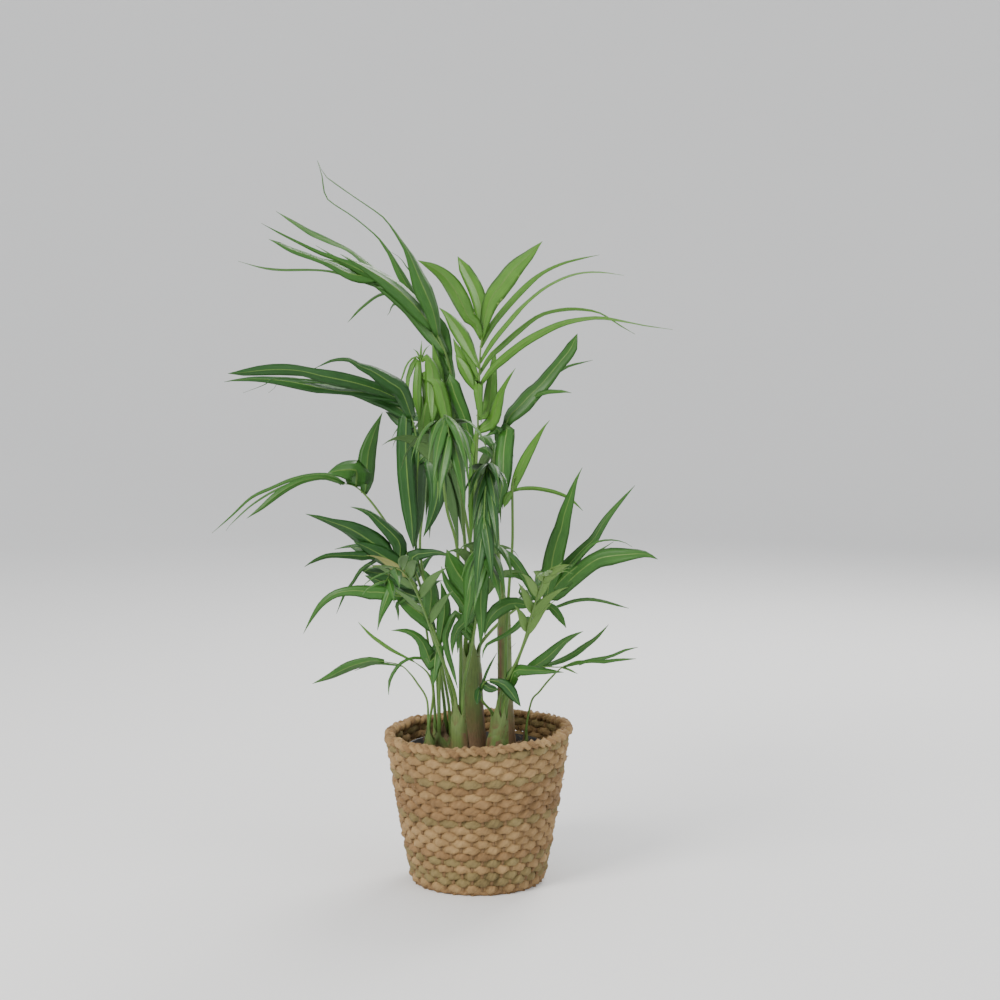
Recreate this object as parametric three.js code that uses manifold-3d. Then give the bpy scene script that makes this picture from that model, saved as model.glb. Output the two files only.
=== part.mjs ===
// A potted kentia palm: several seedling stems in one grow pot, set in a woven basket.
// Millimetres, +Z up. The origin is the centre of the basket's flat underside, and +X is to
// the right and +Y away as one faces the plant's front.
import * as THREE from "three";
import { mergeVertices } from "three/addons/utils/BufferGeometryUtils.js";
import Module from "manifold-3d";

const wasm = await Module();
wasm.setup();

// ---- Driving sizes -------------------------------------------------------------------------

const seat = 0.3; // air left between two pieces that touch

const basket = {
  height: 201, rimRadius: 122, footRadius: 83, wall: 8, floor: 7, sides: 24,
  footRounding: 4, // how much wider the wall starts than the flat foot
  belly: 1.8, // how far the wall bows out half way up
  rimRounding: 2,
};
const growPot = {
  height: 168, rimRadius: 95, footRadius: 68, wall: 2.5, floor: 3, lip: 12, sides: 20,
  lipStep: 3, // how far the lip stands out from the wall
  lipSlope: 2, // how far under the lip's foot the inside widens
};
const soilBelowLip = 8; // the soil's surface under the grow pot's lip

const growPotFoot = basket.floor + seat;
const soilLevel = growPotFoot + growPot.height - soilBelowLip;

const petiole = {
  foot: 2.8, end: 1.9, sides: 5, steps: 5, levelFoot: true,
  lean: 0.16, // how far along to its first noted place the petiole has moved sideways
  climb: 0.36, // when it has climbed this much of the height
};
const rib = { start: 1.7, tip: 0.6, sides: 4, steps: 4 };
const leafThickness = 1.5;
const widest = { near: 0.32, far: 0.68 }; // where a leaflet reaches its width and keeps the last of it

// How a leaflet of a pair grows and bends, as shares.
const pairRule = {
  narrowing: 0.45, // how much less the last pair spreads than the first
  shortest: 0.72, // the shortest leaflet of the longest
  peak: [0.15, 0.75], // the part of a half turn that their lengths follow
  bend: 0.5, // where the arc's control point lies
  pull: 0.45, // how much the hang shortens the reach
  fall: 0.7, // how much of the length the hang lowers the tip
};

// The front elevation is set out as it lines up from an eye level with the crown.
const eye = new THREE.Vector3(29, -2600, 741);

// Each stem stands on the soil with a flat cut, flares at its foot and tapers to its fork.
const stems = {
  back: { foot: [-6, 26], top: [-8, 28], height: 125, footRadius: 17, topRadius: 11 },
  right: { foot: [37, 5], top: [34, 3], height: 185, footRadius: 12, topRadius: 7 },
  left: { foot: [-48, 2], top: [-45, 0], height: 28, footRadius: 17, topRadius: 13 },
  front_left: { foot: [-22, -44], top: [-24, -46], height: 60, footRadius: 12, topRadius: 8.5 },
  front_right: { foot: [24, -48], top: [28, -50], height: 55, footRadius: 14, topRadius: 10.5 },
  small_left: { foot: [-62, -28], top: [-61, -28], height: 28, footRadius: 9, topRadius: 7 },
  small_right: { foot: [60, -14], top: [60, -14], height: 22, footRadius: 7, topRadius: 5 },
};

// Fronds. `sheath` is the side of the stem, in degrees from +X, where the petiole leaves it.
// `along` is the way of petiole and rib from there, as [across, behind, up], and `blade` is
// where on it the leaflets begin, from 0 to 1. A leaflet that is set out by its tip is
// [place on the rib, across, behind, up, width, bow, share of the width left near the tip].
const fronds = {
  top_left: {
    stem: "back", sheath: 190, blade: 0.52,
    along: [[-12, 30, 360], [-20, 34, 497], [-28, 36, 602], [-38, 40, 679], [-69, 46, 738],
      [-108, 54, 770], [-150, 62, 800]],
    tips: [[0.8, -203, 130, 932, 15, -6, 0.15], [0.64, -198, 40, 924, 28, -27, 0.25],
      [0.77, -257, 160, 870, 20, 0], [0.96, -283, 110, 855, 7, -4], [0.92, -271, 10, 833, 14, -4],
      [0.88, -312, 90, 803, 7, -5], [0.9, -167, 0, 725, 5, 0], [0.86, -118, 110, 727, 5, 0],
      [0.72, -165, 120, 806, 18, 0], [0.64, -122, 0, 782, 20, 2], [0.58, -76, 100, 762, 22, 4],
      [0.74, -165, 10, 828, 16, -3]],
  },
  top_centre: {
    stem: "back", sheath: 280, blade: 0.5,
    along: [[-4, 20, 360], [-3, 14, 496], [0, 6, 588], [2, 0, 646], [4, -8, 691], [8, -14, 721],
      [11, -18, 757]],
    tips: [[0.76, -74, -80, 806, 26, -26], [0.88, -27, 40, 811, 26, -3], [0.86, 83, -80, 832, 25, 10],
      [0.76, 158, 60, 815, 10, 27], [0.72, 196, -90, 788, 10, 41], [0.67, 210, 90, 711, 9, 58],
      [0.61, 253, -120, 720, 13, 52], [0.58, 25, 40, 691, 11, 0], [0.66, -42, -70, 752, 22, -8],
      [0.6, -60, -30, 725, 20, -8], [0.54, 50, -60, 668, 18, -2]],
  },
  upper_right: {
    stem: "right", sheath: 20, blade: 0.66,
    along: [[28, 4, 385], [23, 4, 420], [21, 6, 460], [25, 10, 524], [33, 14, 588], [56, 20, 622],
      [82, 26, 650]],
    tips: [[0.99, 130, 10, 718, 20, -4], [0.92, 150, 70, 678, 4, 5], [0.9, 120, -20, 640, 8, 3],
      [0.77, 98, 80, 672, 22, -4], [0.72, 66, -40, 634, 20, 0], [0.76, 18, -40, 462, 22, 4, 0.5]],
  },
  reaching_left: {
    stem: "left", sheath: 245, blade: 0.5,
    along: [[-50, -12, 342], [-77, -14, 420], [-79, -16, 510], [-80, -22, 588], [-101, -30, 629],
      [-147, -42, 646], [-196, -54, 652]],
    tips: [[0.82, -325, -150, 660, 16, -18], [0.9, -331, -76, 650, 14, -3],
      [0.76, -315, 0, 648, 16, -6], [0.72, -216, -130, 670, 17, -20], [0.95, -302, -110, 636, 4, -4],
      [0.68, -88, -50, 438, 23, -4, 0.9], [0.62, -70, -20, 436, 24, -2, 0.95], [0.55, -48, -40, 472, 20, -4],
      [0.67, -205, 10, 640, 22, -4]],
  },
  right_slim: {
    stem: "front_right", sheath: 60, blade: 0.86,
    along: [[36, -36, 262], [37, -35, 315], [39, -33, 360], [42, -31, 405], [45, -29, 446],
      [45, -28, 511], [48, -28, 530]],
    tips: [[0.9, 92, -34, 600, 14, 2], [0.87, 136, -40, 484, 7, 18]],
  },
  right_middle: {
    stem: "front_right", sheath: 0, blade: 0.62,
    along: [[44, -50, 260], [52, -52, 289], [62, -54, 315], [70, -55, 332], [80, -58, 350],
      [92, -61, 372], [104, -64, 392]],
    tips: [[0.85, 136, -90, 540, 22, 4], [0.95, 203, -20, 517, 13, 0], [0.88, 233, -110, 421, 20, 24],
      [0.99, 174, -40, 443, 8, 0], [0.98, 200, -100, 437, 5, 8], [0.78, 196, -20, 357, 7, 12],
      [0.79, 115, -90, 332, 9, 6], [0.8, 8, -84, 438, 11, -14], [0.76, 20, -66, 352, 11, -14],
      [0.68, 8, -94, 306, 15, 0]],
  },
  right_low: {
    stem: "front_right", sheath: 305, blade: 0.3,
    along: [[40, -66, 252], [56, -70, 270], [81, -74, 280], [107, -78, 280], [133, -82, 284]],
    tips: [[0.99, 207, -50, 309, 6, -4], [0.9, 205, -130, 296, 10, -2], [0.5, 136, -100, 328, 15, 0],
      [0.68, 168, -60, 337, 10, -8], [0.36, 113, -120, 278, 12, 14]],
  },
  right_tiny: {
    stem: "small_right", sheath: 0, blade: 0.75,
    along: [[70, -15, 236], [80, -16, 248], [92, -18, 263], [106, -20, 277], [114, -22, 281]],
    tips: [[0.98, 150, -28, 290, 8, 3], [0.9, 132, -14, 268, 6, 2]],
  },
  basal_right: {
    stem: "front_right", sheath: 180, blade: 0.5,
    along: [[6, -58, 236], [5, -62, 252], [12, -72, 262], [28, -80, 261]],
    tips: [[0.85, 56, -92, 228, 14, 10], [0.6, -1, -84, 230, 8, -3]],
  },
  left_single: {
    stem: "left", sheath: 122, blade: 0.76,
    along: [[-57, 14, 320], [-77, 18, 396], [-97, 22, 440], [-113, 25, 462], [-128, 28, 484],
      [-143, 31, 503], [-158, 33, 516], [-176, 36, 520]],
    tips: [[0.8, -122, 50, 611, 22, 9], [0.88, -194, 10, 530, 30, -6], [0.98, -343, 110, 455, 9, -28],
      [0.97, -322, 50, 459, 9, -26], [0.95, -302, 0, 474, 9, -22]],
  },
  star_upper: {
    stem: "left", sheath: 195, blade: 0.5,
    along: [[-62, -6, 300], [-74, -14, 370], [-92, -24, 405], [-112, -32, 420], [-134, -40, 428]],
    tips: [[0.8, -223, -90, 480, 16, -12], [0.66, -166, -60, 489, 26, -20], [0.95, -185, -10, 432, 11, 0],
      [0.97, -223, -100, 410, 13, -10], [0.6, -40, -50, 428, 14, 12], [0.9, -182, 0, 351, 9, 4],
      [0.7, -90, -34, 352, 22, 0], [0.62, -49, -40, 368, 18, 4], [0.8, -128, -10, 372, 26, 4],
      [0.88, -176, -36, 446, 18, -6]],
  },
  star_lower: {
    stem: "front_left", sheath: 160, blade: 0.5,
    along: [[-36, -50, 250], [-50, -56, 310], [-68, -62, 350], [-90, -68, 370], [-110, -74, 374]],
    tips: [[0.95, -224, -60, 326, 17, -32], [0.97, -131, -96, 328, 18, 0], [0.84, -103, -60, 340, 16, 0],
      [0.55, -112, -84, 329, 9, -4], [0.57, -60, -76, 260, 24, -8], [0.55, -44, -70, 280, 18, 0]],
  },
  low_left_thin: {
    stem: "small_left", sheath: 250, blade: 0.7,
    along: [[-58, -42, 240], [-60, -50, 262], [-68, -56, 276], [-84, -62, 288]],
    tips: [[0.98, -154, -76, 340, 9, 3]],
  },
  low_left_arch: {
    stem: "small_left", sheath: 120, blade: 0.6,
    along: [[-66, -20, 238], [-79, -17, 260], [-88, -15, 272], [-101, -12, 283], [-126, -8, 288]],
    tips: [[0.97, -215, 10, 258, 12, -8], [0.8, -160, 34, 275, 5, -6]],
  },
  centre_star: {
    stem: "left", sheath: 5, blade: 0.72,
    along: [[-50, 6, 300], [-66, 9, 380], [-74, 10, 440], [-68, 12, 500], [-66, 14, 560],
      [-70, 16, 640], [-73, 18, 684]],
    tips: [[0.98, -71, 18, 703, 6, 0], [0.97, -82, 14, 692, 4, 0], [0.97, -102, 12, 641, 4, 12],
      [0.96, -91, 4, 622, 8, 10], [0.93, -66, 0, 545, 18, 0], [0.9, -38, 4, 590, 16, 0]],
  },
  // Fronds that lean towards and away from the front carry their leaflets in even pairs.
  front_centre: {
    stem: "front_left", sheath: 60, blade: 0.55,
    along: [[-22, -48, 330], [-26, -52, 433], [-40, -58, 489], [-46, -70, 560], [-44, -105, 600],
      [-40, -155, 606], [-36, -200, 580]],
    pairs: { count: 5, length: 120, splay: 54, lift: -8, hang: 0.7, width: 20 },
  },
  front_right_arch: {
    stem: "right", sheath: 260, blade: 0.5,
    along: [[26, -40, 430], [20, -80, 510], [14, -130, 545], [10, -185, 510], [8, -220, 460]],
    pairs: { count: 5, length: 100, splay: 48, lift: -12, hang: 0.85, width: 17 },
  },
  low_centre: {
    stem: "front_left", sheath: 330, blade: 0.45,
    along: [[-4, -70, 330], [6, -104, 420], [10, -150, 440], [10, -195, 410]],
    tips: [[0.62, 3, -116, 305, 20, 0], [0.7, -16, -124, 325, 18, 0], [0.5, -33, -84, 295, 16, 0]],
    pairs: { count: 4, length: 100, splay: 46, lift: -10, hang: 0.9, width: 18 },
  },
  back_centre: {
    stem: "back", sheath: 100, blade: 0.5,
    along: [[-8, 60, 430], [-32, 110, 560], [-42, 165, 612], [-46, 220, 600], [-48, 262, 540]],
    pairs: { count: 6, length: 145, splay: 50, lift: -8, hang: 0.6, width: 20 },
  },
  back_right: {
    stem: "right", sheath: 135, blade: 0.5,
    along: [[28, 50, 420], [23, 100, 520], [20, 150, 570], [18, 205, 550], [17, 245, 490]],
    pairs: { count: 4, length: 94, splay: 42, lift: -16, hang: 0.9, width: 17 },
  },
  low_front_left: {
    stem: "front_left", sheath: 245, blade: 0.45,
    along: [[-50, -90, 300], [-80, -130, 380], [-104, -180, 410], [-120, -230, 390]],
    pairs: { count: 5, length: 76, splay: 54, lift: 10, hang: 0.4, width: 16 },
  },
  low_front_right: {
    stem: "front_right", sheath: 245, blade: 0.45,
    along: [[56, -90, 300], [70, -125, 350], [86, -170, 395], [94, -210, 402]],
    pairs: { count: 4, length: 66, splay: 50, lift: 8, hang: 0.35, width: 15 },
  },
  low_back_left: {
    stem: "left", sheath: 72, blade: 0.5,
    along: [[-56, 50, 310], [-82, 100, 380], [-104, 160, 410], [-122, 215, 390]],
    pairs: { count: 5, length: 76, splay: 54, lift: 10, hang: 0.4, width: 16 },
  },
  low_back_right: {
    stem: "back", sheath: 10, blade: 0.5,
    along: [[30, 60, 340], [66, 100, 370], [92, 160, 400], [100, 205, 395]],
    pairs: { count: 4, length: 66, splay: 50, lift: 5, hang: 0.45, width: 15 },
  },
};

// ---- Curves --------------------------------------------------------------------------------

const up = new THREE.Vector3(0, 0, 1);
const front = new THREE.Vector3(0, -1, 0.25).normalize();

/** The real place of a point that is set out in the front elevation. */
function sighted([across, behind, height]) {
  const inPlane = new THREE.Vector3(across, 0, height);
  return inPlane.sub(eye).multiplyScalar(1 + behind / -eye.y).add(eye);
}

/** A point on the smooth curve through the given points, at t from 0 to 1. */
function along(points, t) {
  const last = points.length - 1;
  const place = THREE.MathUtils.clamp(t, 0, 1) * last;
  const i = Math.min(Math.floor(place), last - 1);
  const u = place - i;
  const [b, c] = [points[i], points[i + 1]];
  const a = i > 0 ? points[i - 1] : b.clone().multiplyScalar(2).sub(c);
  const d = i + 2 <= last ? points[i + 2] : c.clone().multiplyScalar(2).sub(b);
  const blend = (p, q, r, s) => 0.5 * (2 * q + (r - p) * u + (2 * p - 5 * q + 4 * r - s) * u * u
    + (3 * q - p - 3 * r + s) * u * u * u);
  return new THREE.Vector3(
    blend(a.x, b.x, c.x, d.x),
    blend(a.y, b.y, c.y, d.y),
    blend(a.z, b.z, c.z, d.z),
  );
}

function heading(points, t) {
  const step = 0.01;
  const ahead = along(points, Math.min(1, t + step));
  return ahead.sub(along(points, Math.max(0, t - step))).normalize();
}

/** The same way as straight stretches, so that what is set on it meets the faceted rib. */
function chordOf(points, from, steps) {
  return (t) => {
    const place = (THREE.MathUtils.clamp((t - from) / (1 - from), 0, 1)) * steps;
    const i = Math.min(Math.floor(place), steps - 1);
    const node = (k) => along(points, from + ((1 - from) * k) / steps);
    return node(i).lerp(node(i + 1), place - i);
  };
}

// ---- Solids --------------------------------------------------------------------------------

/** One closed body through rings of equal length; a ring of one point is a pointed end. */
function loft(rings) {
  const positions = [];
  const triangles = [];
  const starts = rings.map((ring) => {
    const start = positions.length / 3;
    ring.forEach((p) => positions.push(p.x, p.y, p.z));
    return start;
  });
  for (let k = 0; k + 1 < rings.length; k += 1) {
    const sides = Math.max(rings[k].length, rings[k + 1].length);
    for (let i = 0; i < sides; i += 1) {
      const j = (i + 1) % sides;
      const at = (ring, side) => starts[ring] + (rings[ring].length > 1 ? side : 0);
      if (rings[k].length > 1) triangles.push([at(k, i), at(k, j), at(k + 1, i)]);
      if (rings[k + 1].length > 1) triangles.push([at(k, j), at(k + 1, j), at(k + 1, i)]);
    }
  }
  [0, rings.length - 1].forEach((end) => {
    const first = starts[end];
    for (let i = 1; i + 1 < rings[end].length; i += 1) {
      const turn = end === 0 ? [first, first + i + 1, first + i] : [first, first + i, first + i + 1];
      triangles.push(turn);
    }
  });
  const geometry = new THREE.BufferGeometry();
  geometry.setAttribute("position", new THREE.Float32BufferAttribute(positions, 3));
  geometry.setIndex(triangles.flat());
  return geometry;
}

/** A tapering tube along part of a curve, square to the curve but for its foot if that is level. */
function taperedTube(points, from, to, radiusAt, { sides, steps, levelFoot }) {
  const rings = [];
  let side = new THREE.Vector3(1, 0, 0);
  for (let k = 0; k <= steps; k += 1) {
    const t = from + ((to - from) * k) / steps;
    const centre = along(points, t);
    const forward = levelFoot && k === 0 ? up : heading(points, t);
    side = side.clone().addScaledVector(forward, -side.dot(forward)).normalize();
    const other = new THREE.Vector3().crossVectors(forward, side);
    const radius = radiusAt(k / steps);
    const ring = Array.from({ length: sides }, (_, i) => {
      const turn = (2 * Math.PI * i) / sides;
      return centre.clone()
        .addScaledVector(side, radius * Math.cos(turn))
        .addScaledVector(other, radius * Math.sin(turn));
    });
    rings.push(ring);
  }
  return loft(rings);
}

/** A thin lance-shaped blade, pointed at both ends, thickest along its midrib. */
function leaflet({ base, bend, tip, width, across, outer = 0.78 }) {
  const outline = [[widest.near, 1], [widest.far, outer]]; // place along the blade, share of the width
  const rings = outline.map(([t, share]) => {
    const centre = base.clone().multiplyScalar((1 - t) * (1 - t))
      .addScaledVector(bend, 2 * t * (1 - t))
      .addScaledVector(tip, t * t);
    const forward = bend.clone().sub(base).multiplyScalar(1 - t)
      .addScaledVector(tip.clone().sub(bend), t).normalize();
    const side = across.clone().addScaledVector(forward, -across.dot(forward)).normalize();
    const normal = new THREE.Vector3().crossVectors(forward, side);
    const half = (width * share) / 2;
    return [
      centre.clone().addScaledVector(side, half),
      centre.clone().addScaledVector(normal, leafThickness / 2),
      centre.clone().addScaledVector(side, -half),
      centre.clone().addScaledVector(normal, -leafThickness / 2),
    ];
  });
  return loft([[base], ...rings, [tip]]);
}

/** A leaflet set out by its tip: it faces the front and bows to the left of its way. */
function leafletToTip(ribAt, [place, across, behind, height, width, bow, outer]) {
  const base = ribAt(place);
  const tip = sighted([across, behind, height]);
  const chord = tip.clone().sub(base).normalize();
  const side = new THREE.Vector3().crossVectors(front, chord).normalize();
  const bend = base.clone().lerp(tip, 0.5).addScaledVector(side, 2 * bow);
  return leaflet({ base, bend, tip, width, across: side, outer });
}

/** Even pairs of leaflets that spread from the rib and hang towards their tips. */
function leafletPairs(points, ribAt, from, { count, length, splay, lift, hang, width }) {
  const out = [];
  for (let i = 0; i < count; i += 1) {
    const share = (i + 0.5) / count;
    const place = from + (1 - from) * share;
    const base = ribAt(place);
    const forward = heading(points, place);
    const sideways = new THREE.Vector3().crossVectors(forward, up).normalize();
    const over = new THREE.Vector3().crossVectors(sideways, forward);
    const open = THREE.MathUtils.degToRad(splay * (1 - pairRule.narrowing * share));
    const raised = THREE.MathUtils.degToRad(lift);
    const phase = pairRule.peak[0] + pairRule.peak[1] * share;
    const reach = length * THREE.MathUtils.lerp(pairRule.shortest, 1, Math.sin(Math.PI * phase));
    [-1, 1].forEach((hand) => {
      const start = forward.clone().multiplyScalar(Math.cos(open))
        .addScaledVector(sideways, hand * Math.sin(open))
        .multiplyScalar(Math.cos(raised))
        .addScaledVector(over, Math.sin(raised));
      const across = new THREE.Vector3().crossVectors(start, up).normalize(); // square to its fall
      const bend = base.clone().addScaledVector(start, reach * pairRule.bend);
      const tip = base.clone().addScaledVector(start, reach * (1 - pairRule.pull * hang))
        .addScaledVector(up, -reach * hang * pairRule.fall);
      out.push(leaflet({ base, bend, tip, width, across }));
    });
  }
  return out;
}

/** The closed meshes joined into one. */
function joined(geometries) {
  const solids = geometries.map((geometry) => {
    geometry.deleteAttribute("normal");
    geometry.deleteAttribute("uv");
    const merged = mergeVertices(geometry, 1e-4);
    return new wasm.Manifold(new wasm.Mesh({
      numProp: 3,
      vertProperties: merged.attributes.position.array,
      triVerts: new Uint32Array(merged.index.array),
    }));
  });
  const whole = solids.reduce((sum, solid) => sum.add(solid)).getMesh();
  const geometry = new THREE.BufferGeometry();
  geometry.setAttribute("position", new THREE.BufferAttribute(whole.vertProperties, 3));
  geometry.setIndex(new THREE.BufferAttribute(whole.triVerts, 1));
  return geometry;
}

// ---- The plant -----------------------------------------------------------------------------

const palm = new THREE.Group();

const materials = {
  weave: new THREE.MeshStandardMaterial({ color: 0xb08a5a, roughness: 0.9 }),
  plastic: new THREE.MeshStandardMaterial({ color: 0x2b2b2a, roughness: 0.6 }),
  soil: new THREE.MeshStandardMaterial({ color: 0x2e2118, roughness: 1 }),
  stem: new THREE.MeshStandardMaterial({ color: 0x6b5a34, roughness: 0.8 }),
  petiole: new THREE.MeshStandardMaterial({ color: 0x4c6b2e, roughness: 0.55 }),
  leaf: new THREE.MeshStandardMaterial({ color: 0x2f5a28, roughness: 0.5 }),
};

function add(name, geometry, material) {
  const shaded = geometry.index ? geometry.toNonIndexed() : geometry;
  shaded.computeVertexNormals();
  const mesh = new THREE.Mesh(shaded, material);
  mesh.name = name;
  palm.add(mesh);
  return mesh;
}

/** A vessel turned about Z from its closed section, given as [radius, height] pairs. */
function turned(section, sides) {
  const outline = [...section, section[0]].map(([radius, height]) => new THREE.Vector2(radius, height));
  return new THREE.LatheGeometry(outline, sides).rotateX(Math.PI / 2);
}

function addPot() {
  const { height, rimRadius, footRadius, wall, floor, sides } = basket;
  const outerAt = (share) => THREE.MathUtils.lerp(footRadius + basket.footRounding, rimRadius, share)
    + basket.belly * Math.sin(Math.PI * share);
  const levels = [0.04, 0.25, 0.5, 0.75, 0.97];
  const outer = levels.map((share) => [outerAt(share), height * share]);
  const inner = levels.slice(1).reverse().map((share) => [outerAt(share) - wall, height * share]);
  const rimInside = rimRadius - wall + basket.rimRounding / 2;
  const section = [[0, 0], [footRadius, 0], ...outer, [rimRadius - basket.rimRounding, height],
    [rimInside, height], ...inner, [outerAt(2 * levels[0]) - wall, floor], [0, floor]];
  add("basket", turned(section, sides), materials.weave);

  const underLip = growPot.rimRadius - growPot.lipStep;
  const lipFoot = growPot.height - growPot.lip;
  const innerStep = lipFoot - growPot.lipSlope;
  const shell = [[0, 0], [growPot.footRadius, 0], [underLip, lipFoot],
    [growPot.rimRadius, lipFoot], [growPot.rimRadius, growPot.height],
    [growPot.rimRadius - growPot.wall, growPot.height],
    [underLip - growPot.wall, innerStep],
    [growPot.footRadius - growPot.wall, growPot.floor], [0, growPot.floor]];
  add("grow_pot", turned(shell, growPot.sides), materials.plastic).position.z = growPotFoot;

  const soilTop = soilLevel - growPotFoot;
  const soilRadius = (z) => THREE.MathUtils.mapLinear(
    z,
    growPot.floor,
    innerStep,
    growPot.footRadius - growPot.wall,
    underLip - growPot.wall,
  ) - 2 * seat;
  const fill = [[0, growPot.floor + seat], [soilRadius(growPot.floor), growPot.floor + seat],
    [soilRadius(innerStep), innerStep], [soilRadius(innerStep), soilTop], [0, soilTop]];
  add("soil", turned(fill, growPot.sides), materials.soil).position.z = growPotFoot;
}

function addStem(name, { foot, top, height, footRadius, topRadius }) {
  const stand = soilLevel + seat;
  const axis = [0, 0.35, 1].map((share) => new THREE.Vector3(
    THREE.MathUtils.lerp(foot[0], top[0], share),
    THREE.MathUtils.lerp(foot[1], top[1], share),
    stand + height * share,
  ));
  const flare = (share) => topRadius + (footRadius - topRadius) * (1 - share) ** 3;
  const sides = 8;
  const rings = [0, 0.14, 0.4, 1].map((share) => {
    const centre = along(axis, share);
    centre.z = stand + height * share;
    return Array.from({ length: sides }, (_, i) => {
      const turn = (2 * Math.PI * i) / sides;
      return centre.clone().add(new THREE.Vector3(Math.cos(turn), Math.sin(turn), 0)
        .multiplyScalar(flare(share)));
    });
  });
  add(`stem_${name}`, loft(rings), materials.stem);
}

/** Where a frond leaves the ring of sheaths at the top of its stem. */
function sheathPlace({ stem, sheath }) {
  const { top, height, topRadius } = stems[stem];
  const turn = THREE.MathUtils.degToRad(sheath);
  const ring = topRadius - petiole.foot - seat;
  return new THREE.Vector3(
    top[0] + ring * Math.cos(turn),
    top[1] + ring * Math.sin(turn),
    soilLevel + height + 2 * seat,
  );
}

function addFrond(name, frond) {
  const foot = sheathPlace(frond);
  const way = frond.along.map(sighted);
  const lift = foot.clone().lerp(way[0], petiole.lean)
    .setZ(THREE.MathUtils.lerp(foot.z, way[0].z, petiole.climb));
  const points = [foot, lift, ...way];
  const gap = seat / foot.distanceTo(points[points.length - 1]);
  const taper = (start, end) => (share) => THREE.MathUtils.lerp(start, end, share);
  const stalk = taperedTube(points, 0, frond.blade - gap, taper(petiole.foot, petiole.end), petiole);
  add(`petiole_${name}`, stalk, materials.petiole);
  const midrib = taperedTube(points, frond.blade, 1, taper(rib.start, rib.tip), rib);
  const ribAt = chordOf(points, frond.blade, rib.steps);
  const leaves = (frond.tips ?? []).map((tip) => leafletToTip(ribAt, tip));
  const pairs = frond.pairs ? leafletPairs(points, ribAt, frond.blade, frond.pairs) : [];
  add(`frond_${name}`, joined([midrib, ...leaves, ...pairs]), materials.leaf);
}

addPot();
Object.entries(stems).forEach(([name, stem]) => addStem(name, stem));
Object.entries(fronds).forEach(([name, frond]) => addFrond(name, frond));

export default palm;
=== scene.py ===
# %% [markdown]
# # A young kentia palm in a woven basket
#
# A kentia palm sold as a house plant is several seedlings in one nursery pot. Each seedling is
# a short stem wrapped in leaf sheaths, and each sheath runs on into a long green stalk that
# carries one feathery frond. The pot stands inside a basket twined from rope-like strands.
#
# The measured model is loaded first. Finished pieces made around the same sizes then take the
# place of its parts, so that everything stands where the model says.

# %% Load the measured model
import math
import random

import bpy
import numpy as np
from mathutils import Euler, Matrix, Quaternion, Vector, noise


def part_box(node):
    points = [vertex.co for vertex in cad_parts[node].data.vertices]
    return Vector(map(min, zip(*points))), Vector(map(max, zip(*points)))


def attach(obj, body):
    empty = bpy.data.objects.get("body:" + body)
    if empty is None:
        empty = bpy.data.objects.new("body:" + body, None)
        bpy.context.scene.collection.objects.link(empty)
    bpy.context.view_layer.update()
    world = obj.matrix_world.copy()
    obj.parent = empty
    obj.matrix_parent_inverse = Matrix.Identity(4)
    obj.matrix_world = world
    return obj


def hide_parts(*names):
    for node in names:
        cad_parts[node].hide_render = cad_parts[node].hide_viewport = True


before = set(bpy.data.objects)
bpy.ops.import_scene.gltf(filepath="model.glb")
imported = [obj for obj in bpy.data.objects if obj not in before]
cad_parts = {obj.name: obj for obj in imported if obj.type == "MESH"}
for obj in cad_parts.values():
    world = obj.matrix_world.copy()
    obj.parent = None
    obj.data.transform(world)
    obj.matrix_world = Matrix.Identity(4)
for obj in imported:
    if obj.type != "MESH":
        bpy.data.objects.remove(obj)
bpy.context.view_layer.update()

MM = 0.001  # one millimetre in Blender's metres

# %% [markdown]
# ## Camera, light and floor
#
# A tall slim plant is best seen through a long lens from a little above its middle, because a
# short lens would spread the near fronds. The light is a studio's: a strong soft lamp on the
# left, a large weak one on the right and one behind, so that the leaf edges stand out.
#
# A studio floor curves up into its wall, so that no line shows where they meet. Here it is a
# bowl round the plant, which looks the same from every side: the edge of a disc is extruded
# outwards and upwards along a quarter circle.

# %% Camera
EYE = Vector((29, -2600, 741))  # millimetres, level with the crown
AIM = Vector((29, 0, 498))
LENS = 72.9  # millimetres of focal length
SENSOR = 36  # millimetres from side to side

bpy.ops.object.camera_add(location=EYE * MM)
camera = bpy.context.object
camera.data.sensor_width = SENSOR
camera.data.lens = LENS
camera.rotation_euler = (AIM - EYE).to_track_quat("-Z", "Y").to_euler()
bpy.context.scene.camera = camera
print("camera", round((AIM - EYE).length), "mm from the plant")


# %% Light
def soft_lamp(place, size, watts, tint):
    """A square lamp at a place in metres that faces the middle of the plant."""
    bpy.ops.object.light_add(type="AREA", location=place)
    lamp = bpy.context.object
    lamp.data.size = size
    lamp.data.energy = watts
    lamp.data.color = tint
    lamp.rotation_euler = (AIM * MM - Vector(place)).to_track_quat("-Z", "Y").to_euler()


soft_lamp(place=(-1.7, -2.0, 2.3), size=1.2, watts=105, tint=(1.0, 0.96, 0.91))
soft_lamp(place=(2.2, -1.7, 1.3), size=2.0, watts=20, tint=(0.93, 0.96, 1.0))
soft_lamp(place=(1.0, 2.1, 2.2), size=1.3, watts=60, tint=(1.0, 0.98, 0.95))

SKY_COLOUR = (0.95, 0.96, 0.97, 1)
SKY_STRENGTH = 0.95
world = bpy.data.worlds.new("studio")
world.use_nodes = True
sky = world.node_tree.nodes["Background"]
sky.inputs["Color"].default_value = SKY_COLOUR
sky.inputs["Strength"].default_value = SKY_STRENGTH
bpy.context.scene.world = world
print("three lamps and a pale world")

# %% Floor
FLOOR_RADIUS = 4.0  # metres of flat floor
FLOOR_SIDES = 96
SWEEP = 2.6  # radius of the curve from floor to wall, in metres
SWEEP_STEPS = 14


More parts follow.
